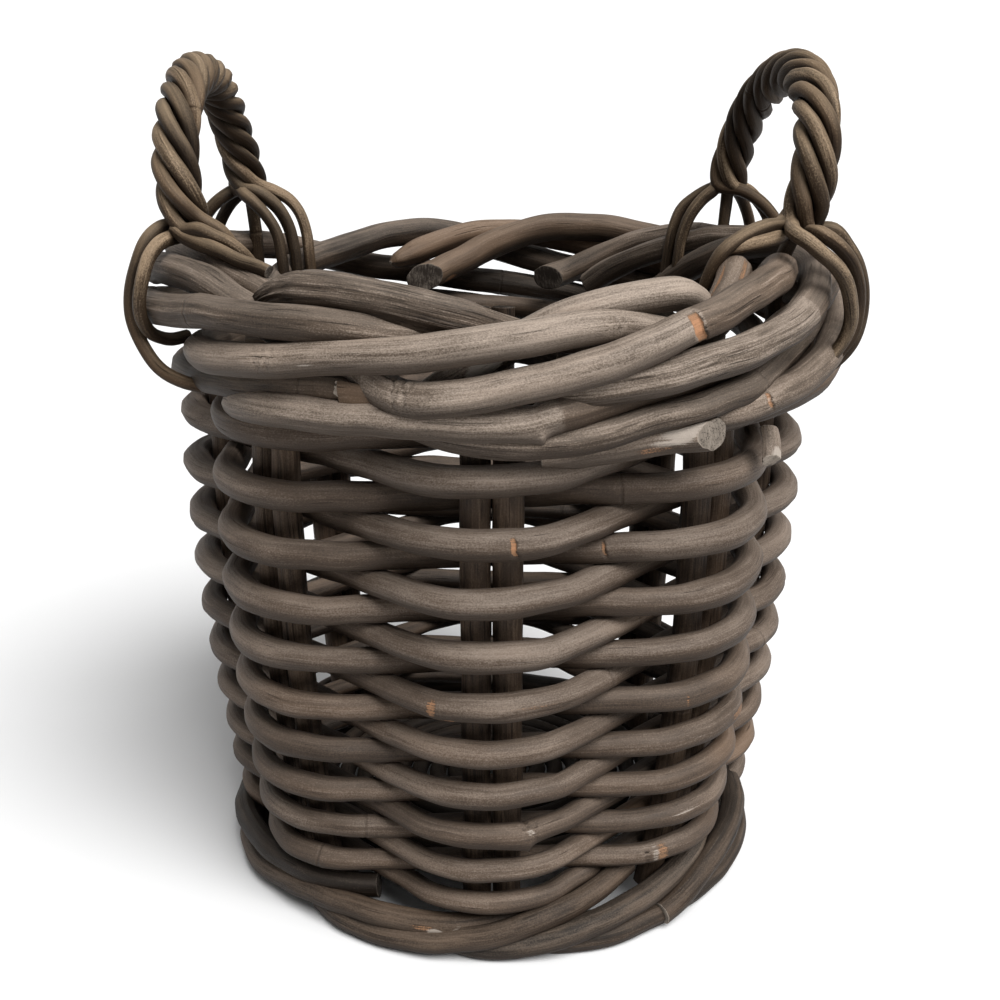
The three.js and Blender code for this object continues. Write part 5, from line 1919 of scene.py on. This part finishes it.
RIGHT_HANDLE = Handle(
    "right",
    (
        (63, 147.5, 300), (63, 148, 315), (63, 149.5, 329), (63, 154, 340), (63, 159, 350),
        (62.9, 162, 365), (63.8, 162.6, 382), (67.1, 159.5, 396), (73.1, 154.7, 405), (81.6, 150.1, 410.5),
        (90, 148, 412), (99.7, 148.1, 409), (108.6, 150.8, 401), (115.4, 153.9, 389), (119.9, 156.3, 373),
        (122.6, 157.6, 356), (123, 157.5, 340), (123, 156, 325), (123, 155, 310), (123, 155, 300),
    ),
    (
        (
            (64.8, 172, 345), (67.2, 177.5, 337), (68.6, 182.3, 327.5), (69, 185.5, 316),
            (68.5, 185.8, 303), (67, 183, 292), (66, 176, 283), (65, 168, 278),
        ),
        (
            (60, 152.5, 343.5), (55.5, 153, 343.3), (51.2, 151, 342.8), (47.6, 147, 341.6),
            (46.4, 141, 339), (46.4, 136.5, 332.5), (46.6, 133, 324), (46.8, 131.5, 315),
        ),
        (
            (59.5, 151.5, 348), (55, 150.3, 348.5), (51, 148.5, 347.5), (47.5, 146.5, 344.6),
            (44.8, 144.3, 340.5), (43.5, 141, 333.5), (43.2, 137.6, 325), (43.6, 134, 315),
        ),
        (
            (53.6, 166, 347), (53.6, 171.5, 344.5), (54.6, 177, 339.5), (56.8, 181.5, 333),
            (58.8, 184.6, 325), (60.3, 185.9, 315), (61.5, 185.3, 305), (62, 182, 295), (61.5, 176, 286),
            (60.5, 169, 281),
        ),
        (
            (58.5, 172, 346), (60, 178.5, 340.5), (62.3, 183.3, 332.5), (64, 185.8, 322), (65, 186, 310),
            (65, 184.5, 299), (64.6, 179, 289), (64, 171, 281),
        ),
    ),
    (
        (
            (124, 168, 345), (125, 176, 337), (125.3, 182, 326.5), (125.2, 184.8, 314), (125, 184.5, 301),
            (124.5, 180, 289), (124, 172, 279),
        ),
        (
            (121, 167, 345.5), (119.8, 174, 338.5), (119.5, 180.5, 329), (119.7, 184.5, 317),
            (120, 184.6, 304), (120.5, 181, 291), (121.5, 174, 281),
        ),
        (
            (119.5, 159.5, 346), (118, 166.5, 342), (116.8, 173.5, 335), (116, 180, 325.5),
            (115.8, 184, 313.5), (116.3, 184, 301), (117, 179, 288), (118, 171, 279),
        ),
        (
            (123.8, 149.5, 345.5), (124.6, 143, 340.5), (125.5, 136.8, 332.5), (126, 132.2, 321),
            (126, 129.5, 307), (126, 128, 294),
        ),
        (
            (126, 153, 345.5), (128, 146, 340.5), (129.5, 139.3, 334), (130, 134.2, 324), (130, 131, 312),
            (130, 129, 299),
        ),
    ),
)


# Studio


@dataclass(frozen=True)
class Sun:
    """One broad soft light.

    Its power is in watts per square metre. It stands at degrees above the horizon and aside from
    the front towards +X, and its width in degrees softens the shadows.
    """

    power: float
    above: float
    aside: float
    width: float

    def build(self) -> None:
        """Makes the light, which reaches the basket and the whole floor."""
        light = bpy.data.lights.new("studio_light", "SUN")
        light.energy = self.power
        light.angle = math.radians(self.width)
        lamp = bpy.data.objects.new("studio_light", light)
        low, turn = math.radians(self.above), math.radians(self.aside)
        spot = Vector((math.sin(turn) * math.cos(low), -math.cos(turn) * math.cos(low), math.sin(low)))
        lamp.location = spot * 3
        lamp.rotation_euler = (-spot).to_track_quat("-Z", "Y").to_euler()
        bpy.context.scene.collection.objects.link(lamp)


@dataclass(frozen=True)
class Studio:
    """Pale floor, soft lights and the camera at the photograph's angle.

    Lengths are in metres. The floor is flat out to its reach, and from there a part of a great
    circle, whose radius is the sweep, lifts it to a low rim.
    """

    camera_distance: float = 0.725566
    camera_height: float = 0.437152
    camera_pitch: float = 0.328
    focal_pixels: float = 1419.0
    centre_pixel: float = 491.95
    frame_pixels: float = 1000.0
    sensor: float = 36.0
    sight: float = 50.0
    floor_sides: int = 72
    floor_rings: tuple[float, ...] = (0.4, 1.5)
    floor_reach: float = 3.2
    floor_sweep: float = 33.0
    floor_lift: float = 12.0
    floor_steps: int = 9
    floor_colour: Colour = (0.82, 0.82, 0.82)
    sky: float = 0.19
    suns: tuple[Sun, ...] = (
        Sun(4.3, 52.0, 35.0, 40.0), Sun(0.5, 24.0, 82.0, 80.0), Sun(0.6, 40.0, -140.0, 80.0),
    )

    def camera(self) -> None:
        """Makes the camera."""
        lens = bpy.data.cameras.new("camera")
        lens.sensor_width = self.sensor
        lens.lens = self.focal_pixels / self.frame_pixels * lens.sensor_width
        lens.shift_x = (self.frame_pixels / 2 - self.centre_pixel) / self.frame_pixels
        lens.clip_end = self.sight
        camera = bpy.data.objects.new("camera", lens)
        camera.location = (0.0, -self.camera_distance, self.camera_height)
        camera.rotation_euler = (math.pi / 2 - self.camera_pitch, 0.0, 0.0)
        bpy.context.scene.collection.objects.link(camera)
        bpy.context.scene.camera = camera

    def floor(self) -> None:
        """Makes the floor, flat under the basket and swept up to a low rim far round it."""
        around = np.arange(self.floor_sides) * 2 * math.pi / self.floor_sides
        lift = np.linspace(0.0, math.radians(self.floor_lift), self.floor_steps)
        reach = [*self.floor_rings, *(self.floor_reach + self.floor_sweep * np.sin(lift))]
        height = [0.0] * len(self.floor_rings) + list(self.floor_sweep * (1 - np.cos(lift)))
        points = [(r * math.sin(t), r * math.cos(t), z) for r, z in zip(reach, height) for t in around]
        ring = np.arange(self.floor_sides)
        faces = [ring[::-1].tolist()]
        for first in range(0, (len(reach) - 1) * self.floor_sides, self.floor_sides):
            inner, outer = first + ring, first + self.floor_sides + ring
            faces += np.stack([inner, np.roll(inner, -1), np.roll(outer, -1), outer], axis=1).tolist()
        mesh = bpy.data.meshes.new("floor")
        mesh.from_pydata(points, [], faces)
        mesh.polygons.foreach_set("use_smooth", np.ones(len(faces), bool))
        floor = bpy.data.objects.new("floor", mesh)
        mesh.materials.append(Plaster("pale_floor", self.floor_colour).material())
        bpy.context.scene.collection.objects.link(floor)

    def build(self) -> None:
        """Makes the floor, lights, sky and camera."""
        self.floor()
        for sun in self.suns:
            sun.build()
        world = bpy.data.worlds.new("studio")
        world.use_nodes = True
        sky = world.node_tree.nodes["Background"]
        sky.inputs["Color"].default_value = (1.0, 1.0, 1.0, 1.0)
        sky.inputs["Strength"].default_value = self.sky
        bpy.context.scene.world = world
        bpy.context.scene.view_settings.view_transform = "Standard"
        self.camera()


def main() -> None:
    """Builds the basket round its CAD frame, then the studio."""
    logging.basicConfig(level=logging.INFO, format="%(name)s: %(message)s")
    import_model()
    bench = Workbench(Finishes())
    weave = Weave()
    border, foot = Border(BORDER_RODS, BORDER_SCRAPS), Foot(FOOT_RODS)
    for assembly in (Stakes(weave), Body(weave), border, foot, Bottom(), LEFT_HANDLE, RIGHT_HANDLE):
        assembly.build(bench)
        LOG.info("%s done", type(assembly).__name__)
    Studio().build()


if __name__ == "__main__":
    main()
